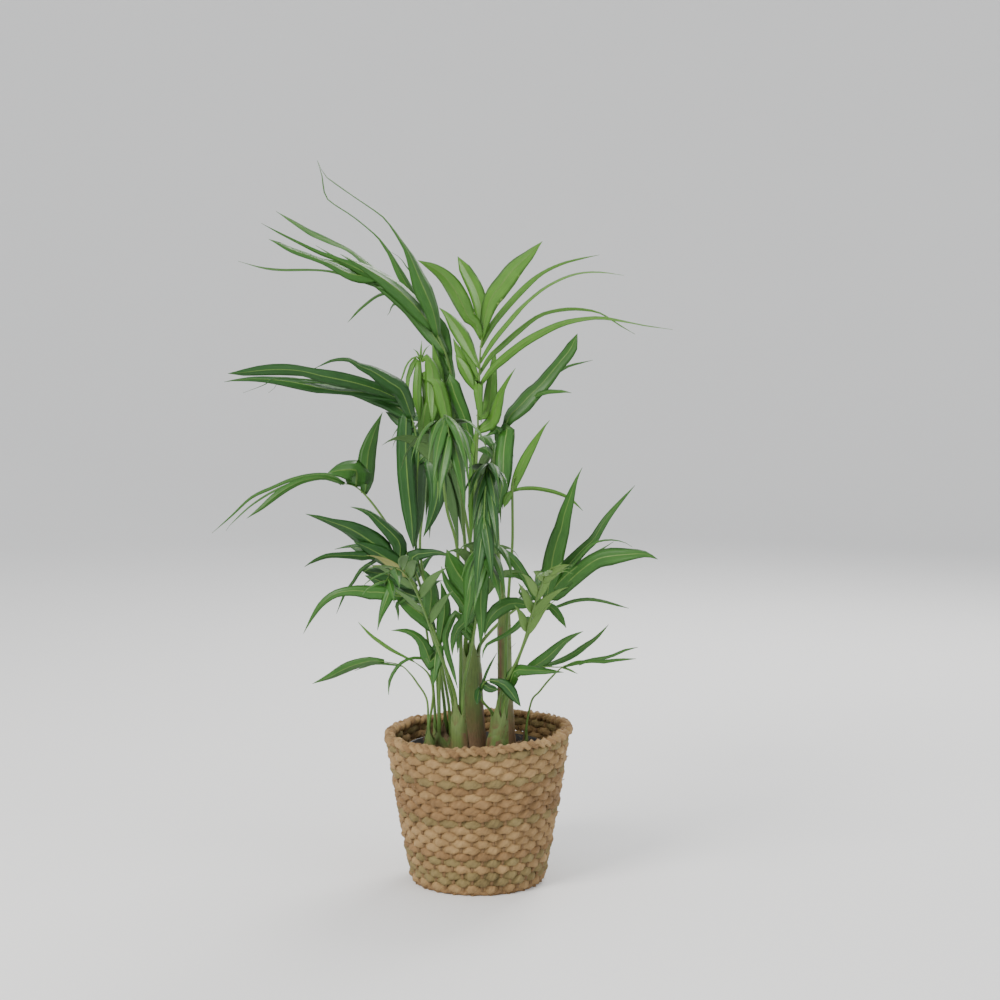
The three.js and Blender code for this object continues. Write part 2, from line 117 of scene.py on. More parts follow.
def draw_edge(section):
    """Extrudes the selected edge of a disc through (radius, height) steps, in edit mode."""
    for (radius, height), (wider, higher) in zip(section, section[1:]):
        bpy.ops.mesh.extrude_edges_move(TRANSFORM_OT_translate={"value": (0, 0, higher - height)})
        scale = wider / radius
        bpy.ops.transform.resize(value=(scale, scale, 1), center_override=(0, 0, higher))


bpy.ops.object.select_all(action="DESELECT")
bpy.ops.mesh.primitive_circle_add(vertices=FLOOR_SIDES, radius=FLOOR_RADIUS, fill_type="NGON")
floor = bpy.context.object
bpy.ops.object.mode_set(mode="EDIT")
bpy.ops.mesh.select_mode(type="EDGE")
bpy.ops.mesh.select_all(action="SELECT")
sweep_turns = [step / SWEEP_STEPS * math.pi / 2 for step in range(SWEEP_STEPS + 1)]
sweep = [(FLOOR_RADIUS + SWEEP * math.sin(turn), SWEEP * (1 - math.cos(turn)))
         for turn in sweep_turns]
draw_edge(sweep)
bpy.ops.object.mode_set(mode="OBJECT")
bpy.ops.object.shade_smooth()
floor.name = "studio_floor"
print("a bowl of floor", 2 * (FLOOR_RADIUS + SWEEP), "m wide")

# %% [markdown]
# ## Shader groups
#
# Plants and baskets share a few surface effects: slow blotches of light and dark, streaks that
# run along a fibre, and a colour between two tones. Each is a node group, built once, that takes
# its own values in each material. A group gives out only a number or a colour, and the surface
# shader itself stays in the material.


# %% Node helpers
def add_node(tree, kind, inputs=None, **settings):
    """A new node with its settings, and with inputs set to values or linked to sockets."""
    made = tree.nodes.new(kind)
    for name, value in settings.items():
        setattr(made, name, value)
    for name, value in (inputs or {}).items():
        if isinstance(value, bpy.types.NodeSocket):
            tree.links.new(value, made.inputs[name])
        else:
            made.inputs[name].default_value = value
    return made


def new_group(name, takes, gives):
    """An empty node group with named inputs, as {name: (kind, value)}, and named outputs."""
    group = bpy.data.node_groups.new(name, "ShaderNodeTree")
    for label, (kind, value) in takes.items():
        socket = group.interface.new_socket(name=label, in_out="INPUT", socket_type=kind)
        if value is not None:
            socket.default_value = value
    for label, kind in gives.items():
        group.interface.new_socket(name=label, in_out="OUTPUT", socket_type=kind)
    return group, group.nodes.new("NodeGroupInput"), group.nodes.new("NodeGroupOutput")


def calculate(tree, operation, *values, **settings):
    """The result of a maths node on numbers or sockets."""
    node = add_node(tree, "ShaderNodeMath", dict(enumerate(values)), operation=operation, **settings)
    return node.outputs[0]


def map_range(tree, value, low, high, to_low=0.0, to_high=1.0):
    """A value that runs from low to high, carried over to another range and kept inside it."""
    ends = {"From Min": low, "From Max": high, "To Min": to_low, "To Max": to_high}
    return add_node(tree, "ShaderNodeMapRange", {"Value": value, **ends}).outputs[0]


def mix_colours(tree, share, first, second):
    """The colour at a share of the way from the first to the second."""
    inputs = {"Factor": share, "A": first, "B": second}
    return add_node(tree, "ShaderNodeMix", inputs, data_type="RGBA").outputs["Result"]


def use_group(tree, group, inputs):
    """What a node group gives out for these inputs, which is its first output."""
    return add_node(tree, "ShaderNodeGroup", inputs, node_tree=group).outputs[0]


FLOAT, VECTOR, COLOUR = "NodeSocketFloat", "NodeSocketVector", "NodeSocketColor"
HALF = 0.5


# %% Blotches, streaks and two-tone colour
def make_blotches():
    """Slow patches, from 0 to 1."""
    takes = {"Vector": (VECTOR, None), "Scale": (FLOAT, 20.0), "Contrast": (FLOAT, 1.0)}
    group, given, out = new_group("blotches", takes, {"Amount": FLOAT})
    cloud = add_node(group, "ShaderNodeTexNoise", {"Vector": given.outputs["Vector"],
                     "Scale": given.outputs["Scale"], "Detail": 3.0})
    centred = calculate(group, "SUBTRACT", cloud.outputs["Fac"], HALF)
    spread = calculate(group, "MULTIPLY_ADD", centred, given.outputs["Contrast"], HALF,
                       use_clamp=True)
    group.links.new(spread, out.inputs["Amount"])
    return group


def make_streaks():
    """Fine lines drawn out along the third axis of the vector, from 0 to 1."""
    takes = {"Vector": (VECTOR, None), "Across": (FLOAT, 400.0), "Along": (FLOAT, 20.0)}
    group, given, out = new_group("streaks", takes, {"Amount": FLOAT})
    scale = add_node(group, "ShaderNodeCombineXYZ", {0: given.outputs["Across"],
                     1: given.outputs["Across"], 2: given.outputs["Along"]})
    drawn = add_node(group, "ShaderNodeVectorMath", {0: given.outputs["Vector"],
                     1: scale.outputs[0]}, operation="MULTIPLY")
    lines = add_node(group, "ShaderNodeTexNoise", {"Vector": drawn.outputs[0], "Scale": 1.0,
                     "Detail": 2.0})
    sharp = map_range(group, lines.outputs["Fac"], 0.3, 0.7)
    group.links.new(sharp, out.inputs["Amount"])
    return group


def make_two_tone():
    """Colour between a light and a dark tone, by two amounts that are averaged."""
    takes = {"Light": (COLOUR, (1, 1, 1, 1)), "Dark": (COLOUR, (0, 0, 0, 1)),
             "First": (FLOAT, 0.5), "Second": (FLOAT, 0.5)}
    group, given, out = new_group("two_tone", takes, {"Color": COLOUR})
    both = calculate(group, "ADD", given.outputs["First"], given.outputs["Second"])
    average = calculate(group, "MULTIPLY", both, HALF)
    colour = mix_colours(group, average, given.outputs["Light"], given.outputs["Dark"])
    group.links.new(colour, out.inputs["Color"])
    return group


BLOTCHES, STREAKS, TWO_TONE = make_blotches(), make_streaks(), make_two_tone()
print("groups:", [group.name for group in (BLOTCHES, STREAKS, TWO_TONE)])

# %% [markdown]
# ## Finishes
#
# Every finish is a light and a dark tone mixed by blotches and streaks, with a roughness that
# follows them and a little bump. What changes is the scale and the direction of the streaks:
# along the blade on a leaf, up the stalk on a petiole, and round the strand on the weave.
#
# A leaf is glossy above and paler and duller below, so it has two finishes. Old and new fronds
# have tones of their own, and here and there one leaflet of a pair is an old one.


# %% One recipe for all finishes
FULL_TURN = 2 * math.pi
COAT_ROUGHNESS = 0.35
ROUGHNESS_SWING = 0.07  # the blotches make a finish this much duller or glossier


def object_place(tree):
    """A point's place on the object, in metres."""
    return add_node(tree, "ShaderNodeTexCoord").outputs["Object"]


def split_map(tree, name):
    """The U and V of a point on a UV map."""
    chart = add_node(tree, "ShaderNodeUVMap", uv_map=name)
    split = add_node(tree, "ShaderNodeSeparateXYZ", {0: chart.outputs["UV"]})
    return split.outputs["X"], split.outputs["Y"]


def wound_place(tree, u, v, twist):
    """A place on a strand whose fibres wind round it, with V once round the strand."""
    round_strand = calculate(tree, "MULTIPLY", v, FULL_TURN)
    wound = calculate(tree, "MULTIPLY_ADD", u, -twist * FULL_TURN, round_strand)
    axes = {0: calculate(tree, "COSINE", wound), 1: calculate(tree, "SINE", wound), 2: u}
    return add_node(tree, "ShaderNodeCombineXYZ", axes).outputs[0]


def finish(name, light, dark, roughness, uv=None, across=400.0, along=20.0, patch=20.0,
           contrast=1.6, bump=0.3, depth=0.3, coat=0.0, gloss=0.5, twist=0):
    """A finish on object coordinates, or on the piece's own UV map with the map's U along.

    With a twist, the streaks wind that many times round the strand, whose section the map's V
    goes round once. The depth of the bumps is in millimetres."""
    made = bpy.data.materials.new(name)
    made.use_nodes = True
    tree = made.node_tree
    shader = tree.nodes["Principled BSDF"]
    shader.inputs["Specular IOR Level"].default_value = gloss
    shader.inputs["Coat Weight"].default_value = coat
    shader.inputs["Coat Roughness"].default_value = COAT_ROUGHNESS
    place = object_place(tree)
    lengthwise = place
    if uv:
        u, v = split_map(tree, uv)
        lengthwise = add_node(tree, "ShaderNodeCombineXYZ", {0: v, 2: u}).outputs[0]
    if twist:
        lengthwise = wound_place(tree, u, v, twist)
    blotch = use_group(tree, BLOTCHES, {"Vector": place, "Scale": patch, "Contrast": contrast})
    streak = use_group(tree, STREAKS, {"Vector": lengthwise, "Across": across, "Along": along})
    colour = use_group(tree, TWO_TONE, {"Light": (*light, 1), "Dark": (*dark, 1),
                       "First": blotch, "Second": streak})
    tree.links.new(colour, shader.inputs["Base Color"])
    dull = map_range(tree, blotch, 0.0, 1.0, roughness - ROUGHNESS_SWING,
                     roughness + ROUGHNESS_SWING)
    tree.links.new(dull, shader.inputs["Roughness"])
    relief = add_node(tree, "ShaderNodeBump", {"Strength": bump, "Distance": depth * MM,
                      "Height": streak})
    tree.links.new(relief.outputs["Normal"], shader.inputs["Normal"])
    return made


# %% Plant finishes
def leaf_finishes(tone, light, dark, under_light, under_dark):
    """The upper side and the underside of a leaf of one tone."""
    veins = {"uv": "blade", "across": 26.0, "along": 6.0, "patch": 26.0, "gloss": 0.32}
    top = finish(f"leaf_{tone}", light, dark, 0.40, bump=0.35, depth=0.25, coat=0.05, **veins)
    under = finish(f"leaf_{tone}_under", under_light, under_dark, 0.55, bump=0.45, depth=0.3, **veins)
    return top, under


LEAF_TONES = {
    "deep": leaf_finishes("deep", (0.024, 0.098, 0.014), (0.009, 0.048, 0.008),
                          (0.060, 0.135, 0.036), (0.036, 0.092, 0.024)),
    "mid": leaf_finishes("mid", (0.044, 0.148, 0.017), (0.018, 0.080, 0.010),
                         (0.088, 0.178, 0.046), (0.054, 0.124, 0.030)),
    "fresh": leaf_finishes("fresh", (0.092, 0.232, 0.025), (0.046, 0.145, 0.015),
                           (0.140, 0.255, 0.055), (0.090, 0.185, 0.036)),
    "old": leaf_finishes("old", (0.240, 0.240, 0.040), (0.090, 0.135, 0.022),
                         (0.260, 0.260, 0.070), (0.140, 0.170, 0.045)),
}
leaf_rib = finish("leaf_rib", (0.125, 0.235, 0.045), (0.062, 0.140, 0.024), 0.45, gloss=0.35)
dry_tip = finish("leaf_dry", (0.300, 0.185, 0.080), (0.130, 0.070, 0.028), 0.7, uv="blade",
                 across=26.0, along=6.0)
stalk_green = finish("stalk_green", (0.115, 0.210, 0.038), (0.048, 0.118, 0.020), 0.45,
                     across=900.0, along=14.0, bump=0.25, depth=0.2, gloss=0.4)
stem_bark = finish("stem_bark", (0.180, 0.120, 0.058), (0.060, 0.036, 0.016), 0.8,
                   across=500.0, along=30.0, patch=70.0, contrast=2.6, bump=0.7, depth=0.8)
sheath_fibre = finish("sheath_fibre", (0.190, 0.112, 0.050), (0.065, 0.034, 0.014), 0.8,
                      across=1200.0, along=30.0)


SHEATH_PATCHES = 110  # the scale of the patches on a sheath
RAGGED = 0.34  # how far up the patches carry the edge of the brown
BROWN_UP_TO, GREEN_FROM = 0.30, 0.78  # shares of the height, before the patches
MARGIN = (0.36, 0.46)  # shares of the width from the middle, where brown begins and is full


def sheath_finish():
    """Green at the mouth, and brown and fibrous towards the foot and along the margins.

    The sheath's map has its V from foot to mouth and its U from one margin to the other."""
    made = finish("sheath_skin", (0.140, 0.205, 0.046), (0.062, 0.108, 0.024), 0.55, across=800.0,
                  along=14.0, patch=60.0, contrast=2.0, bump=0.5, depth=0.5)
    tree = made.node_tree
    shader = tree.nodes["Principled BSDF"]
    green = shader.inputs["Base Color"].links[0].from_socket
    place = object_place(tree)
    u, v = split_map(tree, "UVMap")
    cloud = use_group(tree, BLOTCHES, {"Vector": place, "Scale": SHEATH_PATCHES})
    uneven = calculate(tree, "MULTIPLY_ADD", cloud, RAGGED, v)
    age = map_range(tree, uneven, BROWN_UP_TO, GREEN_FROM, 1.0, 0.0)
    off_middle = calculate(tree, "SUBTRACT", u, HALF)
    margin = map_range(tree, calculate(tree, "ABSOLUTE", off_middle), *MARGIN)
    worn = calculate(tree, "MAXIMUM", age, margin)
    lines = use_group(tree, STREAKS, {"Vector": place, "Across": 1300, "Along": 40})
    brown = use_group(tree, TWO_TONE, {"Light": (0.215, 0.130, 0.058, 1),
                      "Dark": (0.062, 0.034, 0.015, 1), "First": cloud, "Second": lines})
    tree.links.new(mix_colours(tree, worn, green, brown), shader.inputs["Base Color"])
    return made


sheath_skin = sheath_finish()

# %% Pot, soil and basket finishes
WEAVE_MAP = "UVMap"  # the map that Blender draws on a new ring
rush = {"uv": WEAVE_MAP, "across": 8.0, "along": 90.0, "patch": 34.0, "contrast": 2.4,
        "bump": 0.7, "depth": 0.6, "twist": 24}
weave_straw = finish("weave_straw", (0.430, 0.280, 0.118), (0.165, 0.092, 0.034), 0.78, **rush)
weave_tan = finish("weave_tan", (0.330, 0.195, 0.078), (0.115, 0.062, 0.022), 0.8, **rush)
weave_olive = finish("weave_olive", (0.300, 0.225, 0.085), (0.105, 0.074, 0.026), 0.8, **rush)
pot_plastic = finish("pot_plastic", (0.030, 0.030, 0.030), (0.014, 0.014, 0.014), 0.45,
                     across=60.0, along=60.0, patch=40.0, bump=0.1, depth=0.2)
soil_crumb = finish("soil_crumb", (0.075, 0.047, 0.028), (0.018, 0.011, 0.007), 0.95, across=420.0,
                    along=420.0, patch=110.0, contrast=2.6, bump=0.9, depth=1.2)
bark_chip = finish("bark_chip", (0.160, 0.090, 0.045), (0.055, 0.028, 0.014), 0.9, across=900.0,
                   along=300.0, patch=160.0, contrast=2.4)
perlite = finish("perlite", (0.800, 0.790, 0.750), (0.560, 0.540, 0.490), 0.85, across=900.0,
                 along=900.0, patch=200.0)
pale_floor = finish("pale_floor", (0.830, 0.832, 0.835), (0.815, 0.818, 0.820), 0.8, across=2.0,
                    along=2.0, patch=0.5, bump=0.0)
floor.data.materials.append(pale_floor)
print(len(bpy.data.materials), "finishes")

# %% [markdown]
# ## Helpers for finished pieces
#
# A finished piece has its place in its mesh, not in its object, so that its pattern stays put.
# Each piece is then tied to the measured model: it rides on the body and may stand for parts
# of the model, which it hides.


# %% Select, join and hand over
def only(*chosen):
    """Selects just these objects, the last one active, or nothing if none is named."""
    if bpy.context.object and bpy.context.object.mode != "OBJECT":
        bpy.ops.object.mode_set(mode="OBJECT")
    bpy.ops.object.select_all(action="DESELECT")
    for item in chosen:
        item.select_set(True)
    bpy.context.view_layer.objects.active = chosen[-1] if chosen else None


def joined(objects):
    """All the objects as one, which keeps each one's finishes."""
    only(*objects)
    if len(objects) > 1:
        bpy.ops.object.join()
    return bpy.context.view_layer.objects.active


def hand_over(piece, name, slot, *nodes):
    """Names a finished piece and ties it to the measured model."""
    only(piece)
    bpy.ops.object.transform_apply(location=True, rotation=True, scale=True)
    piece.name = name
    piece.data.name = name
    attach(piece, "root")
    if nodes:
        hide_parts(*nodes)
    triangles = sum(len(face.vertices) - 2 for face in piece.data.polygons)
    print(f"{name}: {triangles} triangles")


def facing_out():
    """Turns all faces of the mesh that is being edited outwards, and ends the editing."""
    bpy.ops.mesh.select_all(action="SELECT")
    bpy.ops.mesh.normals_make_consistent(inside=False)
    bpy.ops.object.mode_set(mode="OBJECT")


def smooth(piece, angle):
    """Shades a piece smooth but for edges sharper than the angle, in degrees."""
    only(piece)
    bpy.ops.object.shade_smooth_by_angle(angle=math.radians(angle))


def coordinates(piece):
    """The places of a mesh's vertices, as rows of three."""
    flat = np.empty(len(piece.data.vertices) * 3)
    piece.data.vertices.foreach_get("co", flat)
    return flat.reshape(-1, 3)


def reshape(piece, places):
    """Moves a mesh's vertices to new places."""
    piece.data.vertices.foreach_set("co", np.asarray(places, float).ravel())
    piece.data.update()


# %% [markdown]
# ## The basket's wall
#
# The wall is woven: thick two-ply strands go round it in rows, over one upright stake and under
# the next, and each row starts on the other foot. Every strand is a ring that Blender adds. Its
# points are lifted to their row and pushed in and out past the stakes, and its round section
# gets two lobes that wind along it, which is how twisted rush looks. Uneven rows, slack strands
# and three shades keep it handmade.

# %% Basket sizes
_, basket_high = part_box("basket")
BASKET_HEIGHT = basket_high.z
RIM_RADIUS = basket_high.x
FOOT_RADIUS = 87 * MM  # where the wall starts, above the rounded foot
BELLY = 1.8 * MM  # how far the wall bows out half way up
RIM_LIFT = 5 * MM  # the rim is this much higher on the right and lower on the left
LEAN_TURN = 0.3  # where it is highest, in radians round from the right
ROWS = 21
ROW_PITCH = 8.85 * MM
FIRST_ROW = 9 * MM
STRAND = 4.4 * MM  # a strand's radius before it is pressed flat
STAKES = 44
SWAY = 2.5 * MM  # how far a strand leaves the middle of the wall as it passes a stake
WALL_INSET = 1.2 * MM  # how far the weave keeps inside the wall's outer radius
PLY_PITCH = 26 * MM  # the length of strand in one full twist
PLY_DEPTH = 0.13  # the rise of the two lobes, as a share of the strand's radius
STRAND_SIDES = 10
ROUNDED = 60  # degrees up to which a strand's faces are shaded as one surface
ANY_PHASE = (0, 6.3)  # radians, a little over a full turn
rng = np.random.default_rng(17)


def wall_radius(height):
    """The basket's outer radius at a height, in metres."""
    share = height / BASKET_HEIGHT
    return FOOT_RADIUS + (RIM_RADIUS - FOOT_RADIUS) * share + BELLY * np.sin(np.pi * share)


def weave_radius(height):
    """The radius of the middle of the weave at a height, in metres."""
    return wall_radius(height) - STRAND - WALL_INSET


def lift_at(height, turn):
    """How much a row rises at an angle, because the basket leans up to its rim."""
    return RIM_LIFT * np.cos(turn - LEAN_TURN) * (height / BASKET_HEIGHT) ** 2


# %% Rings of strand
def plain_ring(radius, thickness, steps, sides):
    """A round ring and, for each of its points, the turn round the basket, how far out it is
    from the ring's own line, its rise and its angle round the section."""
    only()
    bpy.ops.mesh.primitive_torus_add(major_segments=steps, minor_segments=sides,
                                     major_radius=radius, minor_radius=thickness)
    ring = bpy.context.object
    x, y, rise = coordinates(ring).T
    out = np.hypot(x, y) - radius
    return ring, np.arctan2(y, x), out, rise, np.arctan2(rise, out)


def bent_ring(ring, turn, reach, rise, material):
    """The ring with its points at new distances from the basket's axis and new heights."""
    reshape(ring, np.stack([reach * np.cos(turn), reach * np.sin(turn), rise], 1))
    ring.data.materials.append(material)
    return ring


# %% Weave one row
ROW_STEPS = 352
CRISP = 1.5  # how quickly a strand changes sides between two stakes
SLACK = (0.72, 1.25)  # how far it swings at a stake, as a share of the sway
DRIFT_WAVES = (2, 5, 9)  # slow waves along a row
DRIFT_SIZE = (0.2, 0.6)
OUT_DRIFT, UP_DRIFT = 0.5 * MM, 0.6 * MM
FLATTENED, TALLER = 0.86, 1.18  # a strand through the wall and up it, against its radius
SWAY_SWELL, DRIFT_SWELL = 0.10, 0.05  # how much thicker it is where it sways and drifts
SHADES = (weave_straw, weave_tan, weave_straw, weave_olive)


def weave_row(index):
    """A strand that runs over and under the stakes at its own height."""
    height = FIRST_ROW + ROW_PITCH * index
    middle = weave_radius(height)
    row, turn, out, rise, lobe = plain_ring(middle, STRAND, ROW_STEPS, STRAND_SIDES)
    stake = turn * STAKES / FULL_TURN
    slack = rng.uniform(*SLACK, STAKES + 1)[np.floor(stake % STAKES).astype(int)]
    over = np.tanh(CRISP * np.sin(np.pi * stake + np.pi * index)) * slack
    drift = sum(rng.uniform(*DRIFT_SIZE) * np.sin(waves * turn + rng.uniform(*ANY_PHASE))
                for waves in DRIFT_WAVES)
    twists = round(FULL_TURN * middle / PLY_PITCH)
    ply = 1 + PLY_DEPTH * np.cos(2 * lobe - 2 * twists * turn + rng.uniform(*ANY_PHASE))
    swell = 1 + SWAY_SWELL * np.abs(over) + DRIFT_SWELL * drift
    reach = middle + SWAY * over + out * ply * swell * FLATTENED + OUT_DRIFT * drift
    level = rise * ply * swell * TALLER + height + UP_DRIFT * drift + lift_at(height, turn)
    return bent_ring(row, turn, reach, level, SHADES[rng.integers(len(SHADES))])


wall = joined([weave_row(index) for index in range(ROWS)])
smooth(wall, ROUNDED)
hand_over(wall, "woven_wall", "weave", "basket")

# %% [markdown]
# ## Stakes, foot and floor of the basket
#
# The stakes are thin upright strands that show between the rows wherever a row runs behind
# them. One is made from a long cylinder cut into short lengths. It is copied round the wall, and
# each copy is bent to swing against the rows. The floor of the basket is laid in rings, which
# look like a coil from above, and a stout ring finishes the foot on which everything stands.

# %% Stakes
STAKE_RADIUS = 2.4 * MM
STAKE_SIDES = 6
STAKE_TOP = FIRST_ROW + ROW_PITCH * ROWS
STAKE_LENGTHS = 2 * ROWS
STAKE_SWAY = 0.9 * SWAY


def straight_stake():
    """An upright strand, centred on its middle, that is cut into short lengths."""
    only()
    bpy.ops.mesh.primitive_cylinder_add(vertices=STAKE_SIDES, radius=STAKE_RADIUS,
                                        depth=STAKE_TOP, end_fill_type="NGON")
    stake = bpy.context.object
    bpy.ops.object.mode_set(mode="EDIT")
    for cut in range(1, STAKE_LENGTHS):
        bpy.ops.mesh.select_all(action="SELECT")
        level = -STAKE_TOP / 2 + cut * STAKE_TOP / STAKE_LENGTHS
        bpy.ops.mesh.bisect(plane_co=(0, 0, level), plane_no=(0, 0, 1))
    bpy.ops.object.mode_set(mode="OBJECT")
    return stake


stake_model = straight_stake()
stake_out, stake_across, stake_up = coordinates(stake_model).T


def place_stake(index):
    """A copy of the stake, bent round the rows at its own place in the wall."""
    copy = stake_model.copy()
    copy.data = stake_model.data.copy()
    bpy.context.scene.collection.objects.link(copy)
    angle = (index + 0.5) * FULL_TURN / STAKES
    rise = stake_up + STAKE_TOP / 2
    row = (rise - FIRST_ROW) / ROW_PITCH
    side = -1 if index % 2 else 1
    reach = weave_radius(rise) + stake_out - side * np.cos(np.pi * row) * STAKE_SWAY
    x = reach * np.cos(angle) - stake_across * np.sin(angle)
    y = reach * np.sin(angle) + stake_across * np.cos(angle)
    reshape(copy, np.stack([x, y, rise + lift_at(rise, angle)], 1))
    return copy


stakes = joined([place_stake(index) for index in range(STAKES)])
bpy.data.objects.remove(stake_model)
stake_finish = finish("weave_stake", (0.240, 0.145, 0.058), (0.095, 0.052, 0.020), 0.8,
                      across=900.0, along=60.0, bump=0.6, depth=0.5)
stakes.data.materials.append(stake_finish)
smooth(stakes, ROUNDED)
hand_over(stakes, "basket_stakes", "weave")

# %% Coiled floor and foot ring
COIL = 3.6 * MM  # the radius of a strand in the floor
COIL_STEP = 2 * COIL * 0.96  # the rings press into each other a little
COIL_PLY_DEPTH = 0.12
COIL_SIDES = 8
PRESSED = 0.92  # a strand's underside is flat from this share of its radius down
FEWEST_STEPS = 16
STEPS_PER_MM = 2.4  # of the ring's radius
FOOT_STRAND = 5.0 * MM
FOOT_INSET = 6.3 * MM
FOOT_STEPS = 240


def coil_ring(radius, thickness, steps):
    """A twisted strand laid flat in a ring on the ground."""
    ring, turn, out, rise, lobe = plain_ring(radius, thickness, steps, COIL_SIDES)
    twists = max(2, round(FULL_TURN * radius / PLY_PITCH))
    ply = 1 + COIL_PLY_DEPTH * np.cos(2 * lobe - 2 * twists * turn)
    level = np.maximum(rise * ply, -PRESSED * thickness) + PRESSED * thickness
    return bent_ring(ring, turn, radius + out * ply, level, weave_tan)


radii = np.arange(COIL, FOOT_RADIUS - 3 * COIL, COIL_STEP)
coils = [coil_ring(radius, COIL, max(FEWEST_STEPS, int(radius / MM * STEPS_PER_MM)))
         for radius in radii]
coils.append(coil_ring(FOOT_RADIUS - FOOT_INSET, FOOT_STRAND, FOOT_STEPS))
basket_floor = joined(coils)
smooth(basket_floor, ROUNDED)
hand_over(basket_floor, "coiled_floor", "weave")
print(len(radii), "rings in the floor")

# %% [markdown]
# ## The braided rim
#
# The rim is a plait of three strands. A plait has a simple rule: every strand swings from side
# to side, and up and down twice as fast, and the three are a third of a swing apart. Three
# rings are added and their points are carried along that path.

# %% Braid the rim
BRAID_SWINGS = 21
BRAID_SWAY = 4.1 * MM
BRAID_HEAVE = 2.0 * MM
BRAID_STRAND = 4.1 * MM
BRAID_RADIUS = RIM_RADIUS - 6.3 * MM
BRAID_LEVEL = BASKET_HEIGHT - 6.0 * MM
BRAID_TWISTS = 28
BRAID_STEPS = 504
BRAID_SHADES = (weave_straw, weave_tan, weave_straw)
SWELLS = ((0.14, 3, 1), (0.10, 8, 2))  # size, waves round the rim, and shift for each strand
ROLLS = ((0.9 * MM, 5, 1), (0.6 * MM, 11, 0))  # size, waves round the rim, and shift


def braid_strand(index):
    """One of the three strands of the plait."""
    strand, turn, out, rise, lobe = plain_ring(BRAID_RADIUS, BRAID_STRAND, BRAID_STEPS,
                                               STRAND_SIDES)
    swing = BRAID_SWINGS * turn + index * FULL_TURN / 3
    uneven = 1 + sum(size * np.sin(waves * turn + shift * index) for size, waves, shift in SWELLS)
    ply = 1 + PLY_DEPTH * np.cos(2 * lobe - 2 * BRAID_TWISTS * turn + index)
    reach = BRAID_RADIUS + BRAID_SWAY * np.sin(swing) * uneven + out * ply * uneven
    wave = sum(size * np.sin(waves * turn + shift) for size, waves, shift in ROLLS)
    level = BRAID_LEVEL + BRAID_HEAVE * np.sin(2 * swing) + rise * ply * uneven + wave
    level = level + lift_at(BASKET_HEIGHT, turn)
    return bent_ring(strand, turn, reach, level, BRAID_SHADES[index])


braid = joined([braid_strand(index) for index in range(3)])
smooth(braid, ROUNDED)
hand_over(braid, "braided_rim", "weave")

# %% [markdown]
# ## Loose ends
#
# Where one strand runs out and the next is laid in, a short end sticks out of the wall. Small
# fibres also stand up from the rim. They are many and thin, so they are made as tubes of few
# sides along short curves and joined into one mesh. The same tube maker serves the fibres of
# the palm's sheaths further down.


# %% Thin tubes along curves
STRETCH_POINTS = 9  # places worked out from one point of a curve to the next
TINY = 1e-9  # keeps a length from being nothing
NEARLY_UP = (0.3, 0.2, 1.0)  # no strand runs just this way
TUBE_TAPER = 0.75  # the share of its radius that a thin strand loses to its end
MAP_MM = 100  # millimetres of length in one unit of a UV map


def between(a, b, c, d, u):
    """A place on the smooth curve through a, b, c and d, on its way from b to c at u of 0 to 1."""
    return 0.5 * (2 * b + (c - a) * u + (2 * a - 5 * b + 4 * c - d) * u * u
                  + (3 * b - a - 3 * c + d) * u ** 3)


def smooth_through(points, steps):
    """Evenly spaced places on a smooth curve through the points, and the curve's length."""
    points = np.asarray(points, float)
    padded = np.vstack([2 * points[0] - points[1], points, 2 * points[-1] - points[-2]])
    dense = []
    for i in range(len(points) - 1):
        for u in np.linspace(0, 1, STRETCH_POINTS)[(1 if i else 0):]:
            dense.append(between(*padded[i:i + 4], u))
    dense = np.array(dense)
    run = np.concatenate([[0], np.cumsum(np.linalg.norm(np.diff(dense, axis=0), axis=1))])
    wanted = np.linspace(0, run[-1], steps)
    return np.stack([np.interp(wanted, run, dense[:, axis]) for axis in range(3)], 1), run[-1]


def unit_rows(rows):
    """The rows, each scaled to a length of one."""
    return rows / np.maximum(np.linalg.norm(rows, axis=1, keepdims=True), TINY)


def directions(centres):
    """The way that a curve runs at each of its places."""
    return unit_rows(np.gradient(centres, axis=0))


class Bundle:
    """Gathers rings of points into one mesh, with a finish and a UV place for every face."""

    def __init__(self):
        self.points, self.faces, self.kinds, self.charts = [], [], [], []

    def skin(self, rings, kind_of, chart):
        """Closes a stack of equal rings, and caps both of its ends."""
        rings = np.asarray(rings, float)
        count, sides = rings.shape[:2]
        start = sum(len(block) for block in self.points)
        self.points.append(rings.reshape(-1, 3))
        for k in range(count - 1):
            for i in range(sides):
                j = (i + 1) % sides
                lower, upper = start + k * sides, start + (k + 1) * sides
                self.faces.append((lower + i, lower + j, upper + j, upper + i))
                self.kinds.append(kind_of(k, i))
                self.charts.append((chart(k, i), chart(k, i + 1),
                                    chart(k + 1, i + 1), chart(k + 1, i)))
        last = start + (count - 1) * sides
        caps = ((range(start + sides - 1, start - 1, -1), 0), (range(last, last + sides), count - 1))
        for cap, k in caps:
            self.faces.append(tuple(cap))
            self.kinds.append(kind_of(min(k, count - 2), 0))
            self.charts.append(tuple(chart(k, 0) for _ in range(sides)))

    def piece(self, materials, chart_name="blade"):
        """The gathered rings as a Blender object."""
        mesh = bpy.data.meshes.new("bundle")
        mesh.from_pydata(np.vstack(self.points) * MM, [], self.faces)
        for material in materials:
            mesh.materials.append(material)
        mesh.polygons.foreach_set("material_index", self.kinds)
        mesh.polygons.foreach_set("use_smooth", [True] * len(self.faces))
        chart = mesh.uv_layers.new(name=chart_name)
        spots = [number for face in self.charts for corner in face for number in corner]
        chart.data.foreach_set("uv", spots)
        mesh.update()
        made = bpy.data.objects.new("bundle", mesh)
        bpy.context.scene.collection.objects.link(made)
        return made


